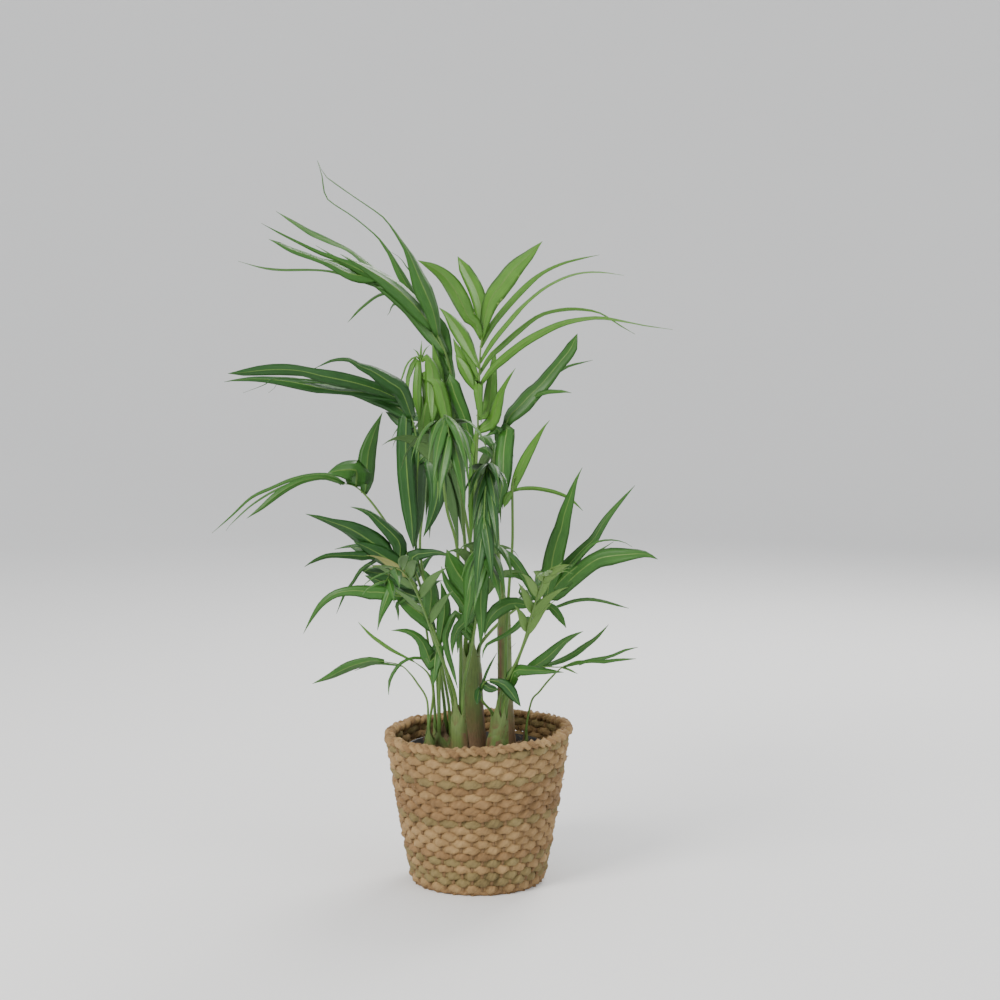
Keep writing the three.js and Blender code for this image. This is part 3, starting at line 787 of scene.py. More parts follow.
def thin_tube(bundle, points, radius, steps=6, sides=5):
    """A thin strand through the points, in millimetres, that narrows to its end."""
    centres, length = smooth_through(points, steps)
    ways = directions(centres)
    side = unit_rows(np.cross(ways, NEARLY_UP))
    other = np.cross(ways, side)
    turns = np.arange(sides) * FULL_TURN / sides
    rings = []
    for k in range(steps):
        thickness = radius * (1 - TUBE_TAPER * k / (steps - 1))
        rings.append(centres[k] + thickness * (np.outer(np.cos(turns), side[k])
                     + np.outer(np.sin(turns), other[k])))
    bundle.skin(rings, lambda k, i: 0, lambda k, i: (k / steps * length / MAP_MM, i / sides))


# %% Loose strand ends and rim fibres
LOOSE_ENDS, RIM_FIBRES = 26, 90
END_LEVELS = (14, 186)  # where on the wall the ends come out, in mm above the ground
END_ROOT = 5  # how deep in the wall they start, in mm
END_REACH = (4, 8)
END_LEAN = (-9, 9)
END_RADIUS = (0.9, 1.7)
FIBRE_RISE = (5, 9)
FIBRE_RADIUS = 0.45
chance = random.Random(5)
loose = Bundle()


def ways_at(turn):
    """The ways outward and sideways at an angle round an upright axis."""
    outward = Vector((math.cos(turn), math.sin(turn), 0))
    return outward, Vector((-outward.y, outward.x, 0))


def upward(height):
    """A way straight up, of a length in mm."""
    return Vector((0, 0, height))


for _ in range(LOOSE_ENDS):
    outward, sideways = ways_at(chance.uniform(0, FULL_TURN))
    level = chance.uniform(*END_LEVELS)
    start = wall_radius(level * MM) / MM - END_ROOT
    reach = chance.uniform(*END_REACH)
    lean = chance.uniform(*END_LEAN)
    foot = outward * start + upward(level)
    bend = foot + outward * (3 + reach / 2) + sideways * lean * 0.5
    end = foot + outward * (2 + reach) + sideways * lean + upward(chance.uniform(-4, 3))
    thin_tube(loose, [foot, bend, end], chance.uniform(*END_RADIUS))
for _ in range(RIM_FIBRES):
    turn = chance.uniform(0, FULL_TURN)
    outward, sideways = ways_at(turn)
    level = (BRAID_LEVEL + lift_at(BASKET_HEIGHT, turn)) / MM
    foot = outward * (BRAID_RADIUS / MM + chance.uniform(-6, 6)) + upward(level)
    rise = upward(chance.uniform(*FIBRE_RISE))
    swing = sideways * chance.uniform(-5, 5) + outward * chance.uniform(-3, 5)
    bend = foot + rise * 0.6 + swing * 0.4
    thin_tube(loose, [foot, bend, foot + rise + swing], FIBRE_RADIUS, steps=5, sides=4)
hand_over(loose.piece([weave_straw], WEAVE_MAP), "loose_ends", "weave")

# %% [markdown]
# ## The nursery pot
#
# Inside the basket is the plain dark pot that the palm grew up in, with a stepped lip. It is
# drawn up from a flat disc the way a potter would: the edge is extruded to each new level and
# scaled to its radius, up the outside, over the lip and down the inside. A bevel rounds the
# lip's edges.

# %% Draw up the pot
pot_low, pot_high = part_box("grow_pot")
POT_LIP = pot_high.x
LIP_STEP = 3 * MM  # how far the lip stands out from the wall
LIP_DROP = 12 * MM
LIP_UNDER = 2 * MM  # how far the inner step lies under the outer one
LIP_ROUNDING = 0.7 * MM
POT_WALL = 2.5 * MM
POT_FLOOR = 3 * MM
POT_FOOT_RADIUS = 68 * MM
POT_SIDES = 128


def drawn_up(section, segments):
    """A vessel from a disc whose edge is extruded through (radius, height) steps."""
    only()
    bpy.ops.mesh.primitive_circle_add(vertices=segments, radius=section[0][0], fill_type="NGON",
                                      location=(0, 0, section[0][1]))
    vessel = bpy.context.object
    bpy.ops.object.mode_set(mode="EDIT")
    bpy.ops.mesh.select_mode(type="EDGE")
    bpy.ops.mesh.select_all(action="SELECT")
    draw_edge(section)
    bpy.ops.mesh.edge_face_add()
    facing_out()
    return vessel


lip_foot = pot_high.z - LIP_DROP
pot_section = [(POT_FOOT_RADIUS, pot_low.z), (POT_LIP - LIP_STEP, lip_foot), (POT_LIP, lip_foot),
               (POT_LIP, pot_high.z), (POT_LIP - POT_WALL, pot_high.z),
               (POT_LIP - LIP_STEP - POT_WALL, lip_foot - LIP_UNDER),
               (POT_FOOT_RADIUS - POT_WALL, pot_low.z + POT_FLOOR)]
pot = drawn_up(pot_section, POT_SIDES)
rounding = pot.modifiers.new("rounding", "BEVEL")
rounding.width = LIP_ROUNDING
rounding.segments = 3
rounding.limit_method = "ANGLE"
rounding.angle_limit = math.radians(40)
only(pot)
bpy.ops.object.modifier_apply(modifier="rounding")
pot.data.materials.append(pot_plastic)
smooth(pot, 35)
hand_over(pot, "nursery_pot", "plastic", "grow_pot")

# %% [markdown]
# ## Potting soil
#
# The soil is a disc that is inset again and again, so that it has rings of points to lift and
# sink into a crumbly relief. Loose crumbs, bark chips and white perlite lie on it. They are
# copies of three small modelled lumps, each turned and sized at random.

# %% Soil surface
_, soil_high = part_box("soil")
SOIL_LEVEL = soil_high.z
SOIL_RADIUS = soil_high.x + 1.4 * MM
SOIL_RINGS, SOIL_SIDES = 26, 150
SOIL_DEPTH = 20 * MM
COARSE, FINE = 45, 190  # the scales of the two reliefs, on metres
COARSE_RISE, FINE_RISE, EDGE_DROP = 1.9 * MM, 1.1 * MM, 2.2 * MM
EDGE_FROM = 0.86  # the share of the radius where the soil starts to sink to the pot

only()
bpy.ops.mesh.primitive_circle_add(vertices=SOIL_SIDES, radius=SOIL_RADIUS, fill_type="NGON",
                                  location=(0, 0, SOIL_LEVEL))
soil = bpy.context.object
bpy.ops.object.mode_set(mode="EDIT")
bpy.ops.mesh.select_all(action="SELECT")
for _ in range(SOIL_RINGS):
    bpy.ops.mesh.inset(thickness=SOIL_RADIUS / (SOIL_RINGS + 1))
bpy.ops.mesh.select_all(action="SELECT")
bpy.ops.mesh.extrude_region_move(TRANSFORM_OT_translate={"value": (0, 0, -SOIL_DEPTH)})
facing_out()


def soil_relief(x, y):
    """The height of the soil over its level, in metres, at a place in metres."""
    coarse = noise.noise(Vector((x, y, 0.3)) * COARSE)
    fine = noise.noise(Vector((x, y, 1.7)) * FINE)
    edge = max(0.0, math.hypot(x, y) / SOIL_RADIUS - EDGE_FROM) / (1 - EDGE_FROM)
    return COARSE_RISE * coarse + FINE_RISE * fine - EDGE_DROP * edge


soil_places = coordinates(soil)
for place in soil_places:
    if place[2] > -SOIL_DEPTH / 2:  # on the top, not on the underside
        place[2] += soil_relief(place[0], place[1])
reshape(soil, soil_places)
soil.data.materials.append(soil_crumb)
smooth(soil, 80)


# %% Crumbs, chips and perlite
def lump(squash, seed):
    """A small uneven lump, squashed by three factors."""
    only()
    bpy.ops.mesh.primitive_ico_sphere_add(subdivisions=1, radius=MM)
    made = bpy.context.object
    uneven = np.random.default_rng(seed)
    at = coordinates(made)
    reshape(made, at * np.array(squash) * uneven.uniform(0.75, 1.2, (len(at), 1)))
    return made


TIPPED = (-0.5, 0.5)  # how far a lump leans either way, in radians
LUMP_RISE = 0.4 * MM  # a lump's middle lies this far over the soil
CLEAR_EDGE = 2 * MM
LUMPS = ((lump((1, 1, 0.8), 1), soil_crumb, 420, (0.7, 2.3)),  # shape, finish, count and sizes
         (lump((2.6, 1.1, 0.5), 2), bark_chip, 120, (0.9, 2.4)),
         (lump((1, 0.9, 0.9), 3), perlite, 70, (0.7, 1.7)))
scattered = []
for model, material, count, sizes in LUMPS:
    model.data.materials.append(material)
    for _ in range(count):
        radius = (SOIL_RADIUS - CLEAR_EDGE) * math.sqrt(chance.random())
        turn = chance.uniform(0, FULL_TURN)
        x, y = radius * math.cos(turn), radius * math.sin(turn)
        copy = model.copy()
        copy.data = model.data.copy()
        copy.location = (x, y, SOIL_LEVEL + soil_relief(x, y) + LUMP_RISE)
        turns = [chance.uniform(*limits) for limits in (TIPPED, TIPPED, ANY_PHASE)]
        copy.rotation_euler = Euler(turns)
        copy.scale = [chance.uniform(*sizes)] * 3
        bpy.context.scene.collection.objects.link(copy)
        scattered.append(copy)
    bpy.data.objects.remove(model)
hand_over(joined(scattered + [soil]), "potting_soil", "soil", "soil")

# %% [markdown]
# ## The palm's own measurements
#
# The plant is set out in notes. Each stem has the place of its foot and its top, its height
# above the soil and its two radii. Each frond leaves the ring of sheaths at the top of a stem on
# its own side, and its stalk and rib follow a line of places.
#
# A place is (across, behind, up) in millimetres. Across and up are measured on the plant's front
# outline, as it lines up from the eye of someone who faces it. How far behind is judged. A
# leaflet of the outline is noted by its place on the rib, how far behind its tip is, its widths
# at even steps from foot to tip, and the way that its midrib takes across and up.

# %% Stems
STEMS = {
    "back": {"foot": (-6, 26), "top": (-8, 28), "height": 125, "radii": (17, 11)},
    "right": {"foot": (37, 5), "top": (34, 3), "height": 185, "radii": (12, 7)},
    "left": {"foot": (-48, 2), "top": (-45, 0), "height": 28, "radii": (17, 13)},
    "front_left": {"foot": (-22, -44), "top": (-24, -46), "height": 60, "radii": (12, 8.5)},
    "front_right": {"foot": (24, -48), "top": (28, -50), "height": 55, "radii": (14, 10.5)},
    "small_left": {"foot": (-62, -28), "top": (-61, -28), "height": 28, "radii": (9, 7)},
    "small_right": {"foot": (60, -14), "top": (60, -14), "height": 22, "radii": (7, 5)},
}

# %% Fronds of the crown
FRONDS = {}
FRONDS["top_left"] = {
    "stem": "back", "sheath": 190, "blade": 0.52, "tone": "mid",
    "along": [(-12, 30, 360), (-20, 34, 497), (-28, 36, 602), (-38, 40, 679), (-69, 46, 738),
              (-108, 54, 770), (-150, 62, 800)],
    "leaves": [
        (0.68, -6, (8, 20, 26, 17, 6, 3, 2, 1.8, 1.8), [(-57, 742), (-73, 780), (-86, 811), (-98, 831),
         (-112, 851), (-121, 861), (-135, 871), (-150, 881), (-179, 901), (-194, 913), (-203, 931)]),
        (0.76, 60, (8, 13, 11, 6, 2.5, 2, 1.8, 1.8, 1.8), [(-92, 777), (-101, 793), (-110, 811),
         (-117, 821), (-124, 831), (-134, 841), (-159, 861), (-189, 881), (-195, 894), (-197, 911),
         (-203, 931)]),
        (0.88, 130, (12, 14, 9, 6, 6, 9, 9, 7, 4), [(-137, 797), (-162, 817), (-187, 829), (-213, 841),
         (-238, 856), (-256, 867)]),
        (0.9, 20, (14, 18, 12, 6, 5, 4, 3, 2), [(-150, 793), (-178, 806), (-200, 814), (-225, 826),
         (-251, 839), (-275, 852)]),
        (0.9, 90, (10, 12, 7, 3), [(-150, 788), (-178, 807), (-206, 824)]),
        (0.93, 10, (14, 20, 17, 12, 9, 9, 9.5, 7), [(-162, 788), (-187, 800), (-213, 810), (-238, 819),
         (-252, 826), (-266, 832)]),
        (0.86, 90, (8, 7, 5, 4, 3.5, 3.5, 4, 4, 2), [(-137, 776), (-162, 784), (-187, 791), (-213, 793),
         (-251, 793), (-276, 796), (-305, 804)]),
        (0.64, 60, (10, 24, 26, 24, 20, 14, 8), [(-72, 732), (-98, 758), (-128, 779), (-165, 797),
         (-200, 808)]),
        (0.7, -30, (10, 22, 26, 24, 16, 8), [(-84, 752), (-112, 776), (-142, 795), (-175, 813)]),
        (0.86, 120, (3, 6, 5, 5, 4), [(-126, 761), (-148, 745), (-166, 726)]),
        (0.8, 110, (3, 5, 4, 2), [(-107, 749), (-111, 741), (-115, 735)]),
        (0.6, 90, (6, 16, 20, 18, 10), [(-46, 714), (-60, 732), (-76, 748), (-96, 762)]),
        (0.56, 70, (6, 16, 20, 20, 16, 8), [(-36, 662), (-43, 688), (-54, 711), (-68, 730)]),
        (0.74, 30, (4, 3, 2, 1.5), [(-75, 775), (-92, 799), (-98, 808), (-109, 815)]),
        (0.5, 30, (8, 18, 20, 20, 18, 14, 8), [(-35, 652), (-30, 637), (-24, 622), (-17, 605),
         (-10, 580), (-5, 545)]),
        (0.5, 45, (8, 20, 24, 22, 16, 8), [(-46, 652), (-47, 625), (-45, 595), (-38, 560), (-33, 530)]),
    ],
}
FRONDS["top_centre"] = {
    "stem": "back", "sheath": 280, "blade": 0.5, "tone": "fresh",
    "along": [(-4, 20, 360), (-3, 14, 496), (0, 6, 588), (2, 0, 646), (4, -8, 691), (8, -14, 721),
              (11, -18, 757)],
    "leaves": [
        (0.8, -80, (5, 12, 18, 22, 21, 16, 10), [(-2, 724), (-10, 731), (-23, 757), (-36, 778),
         (-48, 790), (-61, 798), (-76, 805)]),
        (0.84, 40, (6, 14, 18, 20, 20, 19, 15), [(6, 734), (3, 753), (-4, 773), (-15, 793), (-25, 810)]),
        (0.68, 50, (4, 10, 17, 20, 18, 9), [(-9, 690), (-21, 712), (-37, 734), (-49, 745)]),
        (0.64, 30, (3, 6, 9, 10, 8), [(-5, 668), (-14, 688), (-24, 702)]),
        (0.62, 44, (5, 11, 13, 10), [(-15, 672), (-23, 688), (-31, 706)]),
        (0.55, -10, (5, 11, 13, 12, 8), [(1, 652), (1, 634), (3, 615), (5, 598)]),
        (0.5, 10, (6, 9, 9, 8, 8, 6), [(-4, 560), (-7, 530), (-8, 500), (-8, 470), (-8, 440)]),
        (0.6, 20, (4, 8, 14, 16, 12), [(-7, 647), (-17, 666), (-28, 685)]),
        (0.8, -80, (4, 13, 21, 27, 26, 21, 12), [(9, 727), (16, 754), (29, 772), (42, 789), (55, 802),
         (67, 813), (83, 829)]),
        (0.76, 60, (4, 8, 9, 9, 8, 5, 4, 3), [(16, 718), (29, 736), (55, 765), (80, 787), (106, 800),
         (131, 807), (156, 812)]),
        (0.7, -90, (4, 7, 7.5, 7, 5, 4.5, 4, 3, 2), [(16, 697), (29, 714), (55, 744), (80, 766),
         (106, 781), (132, 789), (158, 790), (187, 786)]),
        (0.66, 90, (4, 7, 8, 8, 6, 5, 5, 4, 2, 2), [(16, 682), (29, 694), (55, 717), (80, 735),
         (106, 742), (131, 743), (157, 738), (183, 722), (202, 711)]),
        (0.62, -120, (4, 9, 12, 11, 11, 9, 7, 5, 4, 2, 1.5), [(16, 663), (29, 676), (55, 697), (80, 712),
         (106, 724), (132, 730), (158, 732), (190, 727), (215, 722), (250, 717)]),
        (0.53, 40, (8, 18, 18, 16, 12, 8), [(12, 612), (17, 640), (20, 668), (23, 692)]),
        (0.5, -30, (10, 18, 17, 13, 7, 4), [(18, 600), (25, 621), (31, 638), (39, 653), (49, 668)]),
    ],
}
FRONDS["upper_right"] = {
    "stem": "right", "sheath": 20, "blade": 0.66, "tone": "mid",
    "along": [(28, 4, 385), (23, 4, 420), (21, 6, 460), (25, 10, 524), (33, 14, 588), (56, 20, 622),
              (82, 26, 650)],
    "leaves": [
        (0.77, 10, (10, 22, 25, 24, 21, 19, 17, 17, 15), [(42, 607), (55, 620), (67, 633), (80, 645),
         (93, 660), (106, 676), (119, 692), (128, 712)]),
        (0.97, 70, (3, 4, 4, 3), [(112, 668), (131, 674), (148, 678)]),
        (0.9, -20, (4, 8, 7, 5), [(86, 637), (98, 638), (110, 638), (121, 636)]),
        (0.76, 60, (8, 14, 16, 14, 8), [(46, 607), (62, 625), (78, 642), (92, 655)]),
        (0.7, 0, (6, 13, 13, 8), [(27, 590), (19, 585), (11, 581)]),
        (0.74, -40, (14, 22, 24, 22, 16, 9), [(38, 592), (34, 562), (33, 530), (30, 505), (24, 482),
         (18, 462)]),
    ],
}
FRONDS["reaching_left"] = {
    "stem": "left", "sheath": 245, "blade": 0.5, "tone": "deep",
    "along": [(-50, -12, 342), (-77, -14, 420), (-79, -16, 510), (-80, -22, 588), (-101, -30, 629),
              (-147, -42, 646), (-196, -54, 652)],
    "leaves": [
        (0.74, -150, (8, 14, 17, 18, 19, 17, 12, 14, 14, 12, 8), [(-122, 638), (-149, 647), (-175, 653),
         (-200, 658), (-225, 664), (-251, 666), (-276, 665), (-302, 662), (-320, 661)]),
        (0.74, -76, (8, 14, 16, 12, 8, 10, 16, 16, 13, 10, 7, 4), [(-122, 634), (-149, 637),
         (-175, 638), (-200, 642), (-213, 645), (-238, 650), (-264, 653), (-289, 654), (-314, 652),
         (-325, 650)]),
        (0.72, 0, (10, 20, 22, 18, 12, 6), [(-122, 636), (-145, 642), (-170, 646), (-192, 649)]),
        (0.66, -130, (12, 18, 22, 24, 20, 13, 7, 5, 3), [(-97, 638), (-110, 648), (-125, 658),
         (-137, 665), (-150, 670), (-163, 678), (-175, 679), (-188, 677), (-201, 671), (-210, 667)]),
        (0.66, 10, (10, 22, 22, 18, 12, 6), [(-112, 624), (-137, 634), (-162, 641), (-187, 646),
         (-225, 652)]),
        (0.9, -110, (3, 3, 2), [(-253, 655), (-274, 646), (-301, 636)]),
        (0.9, -60, (3, 3, 2), [(-247, 650), (-258, 644), (-268, 636)]),
        (0.68, -50, (16, 22, 23, 24, 23, 21, 15), [(-91, 605), (-92, 580), (-92, 555), (-89, 510),
         (-85, 470), (-83, 434)]),
        (0.64, 0, (8, 14, 14, 9), [(-92, 596), (-104, 603), (-118, 612)]),
        (0.62, -20, (8, 20, 26, 26, 22, 16, 8), [(-76, 560), (-78, 520), (-78, 480), (-80, 452),
         (-80, 430)]),
        (0.55, -44, (8, 20, 26, 24, 18, 10), [(-66, 556), (-54, 536), (-51, 508), (-58, 478),
         (-70, 450)]),
    ],
}
FRONDS["centre_star"] = {
    "stem": "left", "sheath": 5, "blade": 0.72, "tone": "fresh",
    "along": [(-50, 6, 300), (-66, 9, 380), (-74, 10, 440), (-68, 12, 500), (-66, 14, 560),
              (-70, 16, 640), (-73, 18, 684)],
    "leaves": [
        (0.985, 18, (3, 3, 2), [(-72, 694), (-71, 703)]),
        (0.98, 14, (3, 2.5, 2), [(-77, 688), (-82, 692)]),
        (0.98, 30, (2.5, 2, 2), [(-67, 691), (-61, 697)]),
        (0.98, 12, (2, 2.5, 2.5, 2.5, 2), [(-79, 683), (-87, 677), (-92, 669), (-96, 657), (-102, 641)]),
        (0.97, 4, (3, 7, 8, 7, 5, 5, 4), [(-80, 679), (-86, 665), (-89, 656), (-90, 645), (-91, 636),
         (-91, 622)]),
        (0.97, 10, (4, 9, 11, 12, 12, 8), [(-75, 678), (-76, 664), (-77, 648), (-77, 628), (-74, 600)]),
        (0.98, -4, (6, 14, 20, 22, 20, 12), [(-66, 682), (-59, 670), (-56, 650), (-56, 625),
         (-58, 598)]),
        (0.93, 0, (8, 18, 20, 16, 8), [(-62, 640), (-68, 610), (-70, 575), (-66, 540)]),
        (0.92, 4, (8, 18, 20, 14), [(-52, 652), (-44, 630), (-38, 600), (-36, 575)]),
        (0.78, 40, (8, 18, 20, 14), [(-46, 610), (-50, 640), (-52, 670), (-58, 700)]),
    ],
}

# %% Fronds of the middle
FRONDS["right_slim"] = {
    "stem": "front_right", "sheath": 60, "blade": 0.86, "tone": "fresh",
    "along": [(36, -36, 262), (37, -35, 315), (39, -33, 360), (42, -31, 405), (45, -29, 446),
              (45, -28, 511), (48, -28, 530)],
    "leaves": [
        (0.87, -34, (7, 13, 14, 11, 5), [(49, 524), (61, 551), (74, 574), (87, 594), (93, 601)]),
        (0.87, -36, (4, 9, 10, 7), [(43, 508), (38, 500), (34, 488)]),
        (0.87, -40, (3, 5, 5, 5, 5, 4, 3), [(53, 512), (61, 513), (74, 513), (87, 511), (100, 508),
         (119, 500), (136, 484)]),
    ],
}
FRONDS["right_middle"] = {
    "stem": "front_right", "sheath": 0, "blade": 0.62, "tone": "mid",
    "along": [(44, -50, 260), (52, -52, 289), (62, -54, 315), (70, -55, 332), (80, -58, 350),
              (92, -61, 372), (104, -64, 392)],
    "leaves": [
        (0.85, -90, (12, 24, 27, 26, 24, 20, 17, 11, 5), [(91, 380), (95, 407), (98, 427), (103, 446),
         (108, 460), (112, 479), (118, 498), (127, 524), (135, 540)]),
        (0.95, -20, (10, 19, 16, 13, 12, 10, 7, 4), [(113, 408), (135, 433), (149, 446), (157, 459),
         (165, 472), (175, 485), (186, 498), (203, 517)]),
        (0.88, -110, (10, 18, 22, 22, 22, 23, 17, 10), [(102, 374), (113, 387), (125, 399), (138, 410),
         (151, 419), (164, 424), (190, 427), (216, 428), (233, 421)]),
        (0.92, -80, (12, 24, 24, 14), [(108, 394), (124, 408), (142, 421)]),
        (0.97, -40, (4, 7, 6, 3), [(145, 424), (162, 435), (176, 444)]),
        (0.98, -100, (3, 3.5, 3.5, 3, 2), [(141, 434), (153, 443), (165, 446), (177, 446), (190, 443),
         (200, 437)]),
        (0.78, -20, (3, 4, 5, 5, 5, 4, 3), [(100, 358), (113, 363), (126, 367), (145, 369), (164, 366),
         (178, 362), (196, 357)]),
        (0.78, -90, (4, 10, 11, 8), [(92, 360), (100, 354), (109, 342), (115, 331)]),
        (0.8, -84, (5, 9, 11, 12, 13, 11, 6), [(76, 372), (68, 387), (61, 399), (48, 418), (35, 430),
         (20, 438), (8, 438)]),
        (0.78, -70, (5, 10, 11, 11, 8), [(70, 388), (60, 398), (48, 402), (35, 400), (22, 397)]),
        (0.76, -66, (4, 8, 11, 15, 19, 19, 15, 8), [(74, 362), (61, 362), (48, 364), (34, 360), (21, 350),
         (12, 336), (9, 321)]),
        (0.76, -40, (3, 5, 4), [(54, 378), (60, 387)]),
        (0.68, -94, (5, 9, 9, 7, 5, 5, 4, 3), [(61, 342), (48, 330), (36, 322), (26, 317), (16, 312),
         (9, 306), (6, 292)]),
    ],
}
FRONDS["left_single"] = {
    "stem": "left", "sheath": 122, "blade": 0.76, "tone": "mid",
    "along": [(-57, 14, 320), (-77, 18, 396), (-97, 22, 440), (-113, 25, 462), (-128, 28, 484),
              (-143, 31, 503), (-158, 33, 516), (-176, 36, 520)],
    "leaves": [
        (0.8, 50, (8, 20, 23, 22, 16, 8), [(-143, 520), (-142, 545), (-139, 565), (-131, 590),
         (-122, 611)]),
        (0.88, 10, (22, 32, 33, 28, 15), [(-156, 536), (-168, 537), (-180, 536), (-194, 532)]),
        (0.99, 110, (7, 6, 6, 6, 5, 5, 4, 3, 2), [(-190, 530), (-215, 530), (-241, 524), (-267, 513),
         (-292, 501), (-318, 477), (-343, 455)]),
        (0.98, 50, (4, 5, 5, 4, 3.5, 3, 2), [(-205, 528), (-235, 521), (-262, 510), (-292, 491),
         (-318, 467), (-325, 458)]),
        (0.97, 0, (4, 6, 7, 8, 9, 8, 5), [(-196, 527), (-222, 524), (-241, 516), (-254, 508),
         (-267, 498), (-280, 487), (-298, 474)]),
    ],
}
FRONDS["star_upper"] = {
    "stem": "left", "sheath": 195, "blade": 0.5, "tone": "deep",
    "along": [(-62, -6, 300), (-74, -14, 370), (-92, -24, 405), (-112, -32, 420), (-134, -40, 428)],
    "leaves": [
        (0.85, -90, (14, 24, 27, 25, 20, 13, 8, 5), [(-124, 434), (-138, 444), (-151, 453), (-165, 461),
         (-178, 466), (-190, 470), (-204, 475), (-222, 480)]),
        (0.75, -60, (8, 18, 20, 16, 11, 6), [(-100, 440), (-112, 456), (-125, 468), (-138, 480),
         (-151, 486), (-164, 489)]),
        (0.97, -10, (4, 5, 5, 3), [(-145, 438), (-165, 438), (-185, 434)]),
        (0.98, -100, (8, 12, 9, 7, 6, 4), [(-146, 425), (-163, 426), (-189, 426), (-202, 423),
         (-215, 417), (-224, 411)]),
        (0.97, -30, (14, 20, 18, 10), [(-145, 434), (-155, 436), (-165, 437)]),
        (0.92, 0, (4, 6, 5, 4, 3), [(-150, 408), (-160, 393), (-172, 376), (-183, 350)]),
        (0.62, -60, (8, 18, 22, 22, 18, 10), [(-104, 412), (-122, 425), (-142, 436), (-160, 444)]),
        (0.55, -20, (8, 20, 24, 22, 18, 10), [(-95, 394), (-115, 401), (-137, 404), (-152, 408)]),
        (0.5, 10, (8, 20, 24, 22, 12), [(-95, 378), (-112, 386), (-130, 394), (-146, 400)]),
        (0.62, -50, (10, 18, 20, 14, 9, 5), [(-84, 424), (-67, 429), (-53, 430), (-40, 427),
         (-30, 426)]),
    ],
}
FRONDS["star_lower"] = {
    "stem": "front_left", "sheath": 160, "blade": 0.5, "tone": "mid",
    "along": [(-36, -50, 250), (-50, -56, 310), (-68, -62, 350), (-90, -68, 370), (-110, -74, 374)],
    "leaves": [
        (0.95, -60, (12, 19, 19, 15, 12, 10, 8.5, 6, 3), [(-125, 378), (-139, 378), (-152, 380),
         (-165, 380), (-178, 378), (-190, 373), (-204, 361), (-217, 341), (-226, 324)]),
        (0.9, -96, (14, 17, 14, 9, 4), [(-113, 380), (-118, 368), (-123, 355), (-127, 342),
         (-130, 328)]),
        (0.84, -60, (4, 6, 5, 3), [(-104, 363), (-103, 352), (-103, 341)]),
        (0.5, -84, (12, 20, 22, 17, 12, 9, 5), [(-60, 286), (-66, 300), (-72, 313), (-82, 323),
         (-95, 328), (-112, 328)]),
        (0.5, -76, (10, 20, 20, 12, 8), [(-54, 300), (-56, 282), (-57, 268), (-58, 255)]),
        (0.56, -60, (8, 18, 22, 22, 18, 10), [(-68, 345), (-80, 355), (-95, 366), (-110, 378)]),
        (0.6, -100, (8, 18, 22, 20, 12), [(-62, 352), (-60, 372), (-62, 392), (-70, 408)]),
        (0.45, -90, (3, 4, 4, 4, 5, 4), [(-60, 290), (-76, 292), (-89, 291), (-101, 284), (-110, 272),
         (-115, 260), (-116, 243)]),
        (0.5, -70, (6, 14, 18, 16, 8), [(-46, 330), (-43, 350), (-43, 372), (-48, 392)]),
    ],
}

# %% Low fronds
FRONDS["low_left_thin"] = {
    "stem": "small_left", "sheath": 250, "blade": 0.7, "tone": "fresh", "slender": 0.65,
    "along": [(-58, -42, 240), (-60, -50, 262), (-68, -56, 276), (-84, -62, 288)],
    "leaves": [
        (0.98, -76, (2, 3, 4, 5, 5, 4, 3), [(-100, 296), (-113, 303), (-126, 312), (-139, 322),
         (-155, 339)]),
    ],
}
FRONDS["low_left_arch"] = {
    "stem": "small_left", "sheath": 120, "blade": 0.6, "tone": "mid", "slender": 0.7,
    "along": [(-66, -20, 238), (-79, -17, 260), (-88, -15, 272), (-101, -12, 283), (-126, -8, 288)],
    "leaves": [
        (0.97, 10, (5, 9, 12, 13, 12, 9, 5), [(-139, 288), (-152, 285), (-165, 281), (-178, 275),
         (-191, 268), (-205, 262), (-215, 258)]),
        (0.8, 34, (2, 3, 4, 3), [(-130, 285), (-148, 280), (-160, 275)]),
    ],
}
FRONDS["right_low"] = {
    "stem": "front_right", "sheath": 305, "blade": 0.3, "tone": "mid", "slender": 0.8,
    "along": [(40, -66, 252), (56, -70, 270), (81, -74, 280), (107, -78, 280), (133, -82, 284)],
    "leaves": [
        (0.99, -50, (4, 5, 5, 4, 4, 3), [(139, 287), (152, 290), (165, 292), (178, 296), (191, 302),
         (208, 306)]),
        (0.86, -130, (3, 4, 4, 5, 5, 5, 4, 3), [(113, 281), (126, 284), (139, 287), (152, 288),
         (165, 287), (178, 289), (206, 291)]),
        (0.5, -100, (5, 13, 16, 14, 10, 6), [(87, 290), (100, 302), (113, 314), (126, 322),
         (137, 327)]),
        (0.68, -60, (4, 6, 8, 9, 9, 6, 4), [(100, 286), (113, 291), (126, 298), (139, 308), (152, 317),
         (163, 328), (170, 336)]),
        (0.34, -120, (10, 17, 15, 14, 12, 9, 5), [(48, 275), (61, 276), (74, 276), (87, 275),
         (100, 274), (112, 273)]),
    ],
}
FRONDS["right_tiny"] = {
    "stem": "small_right", "sheath": 0, "blade": 0.75, "tone": "fresh", "slender": 0.6,
    "along": [(70, -15, 236), (80, -16, 248), (92, -18, 263), (106, -20, 277), (114, -22, 281)],
    "leaves": [
        (0.98, -28, (3, 5, 6, 4), [(126, 285), (139, 287), (150, 289)]),
        (0.9, -14, (2, 3, 3, 2), [(118, 277), (130, 271)]),
    ],
}
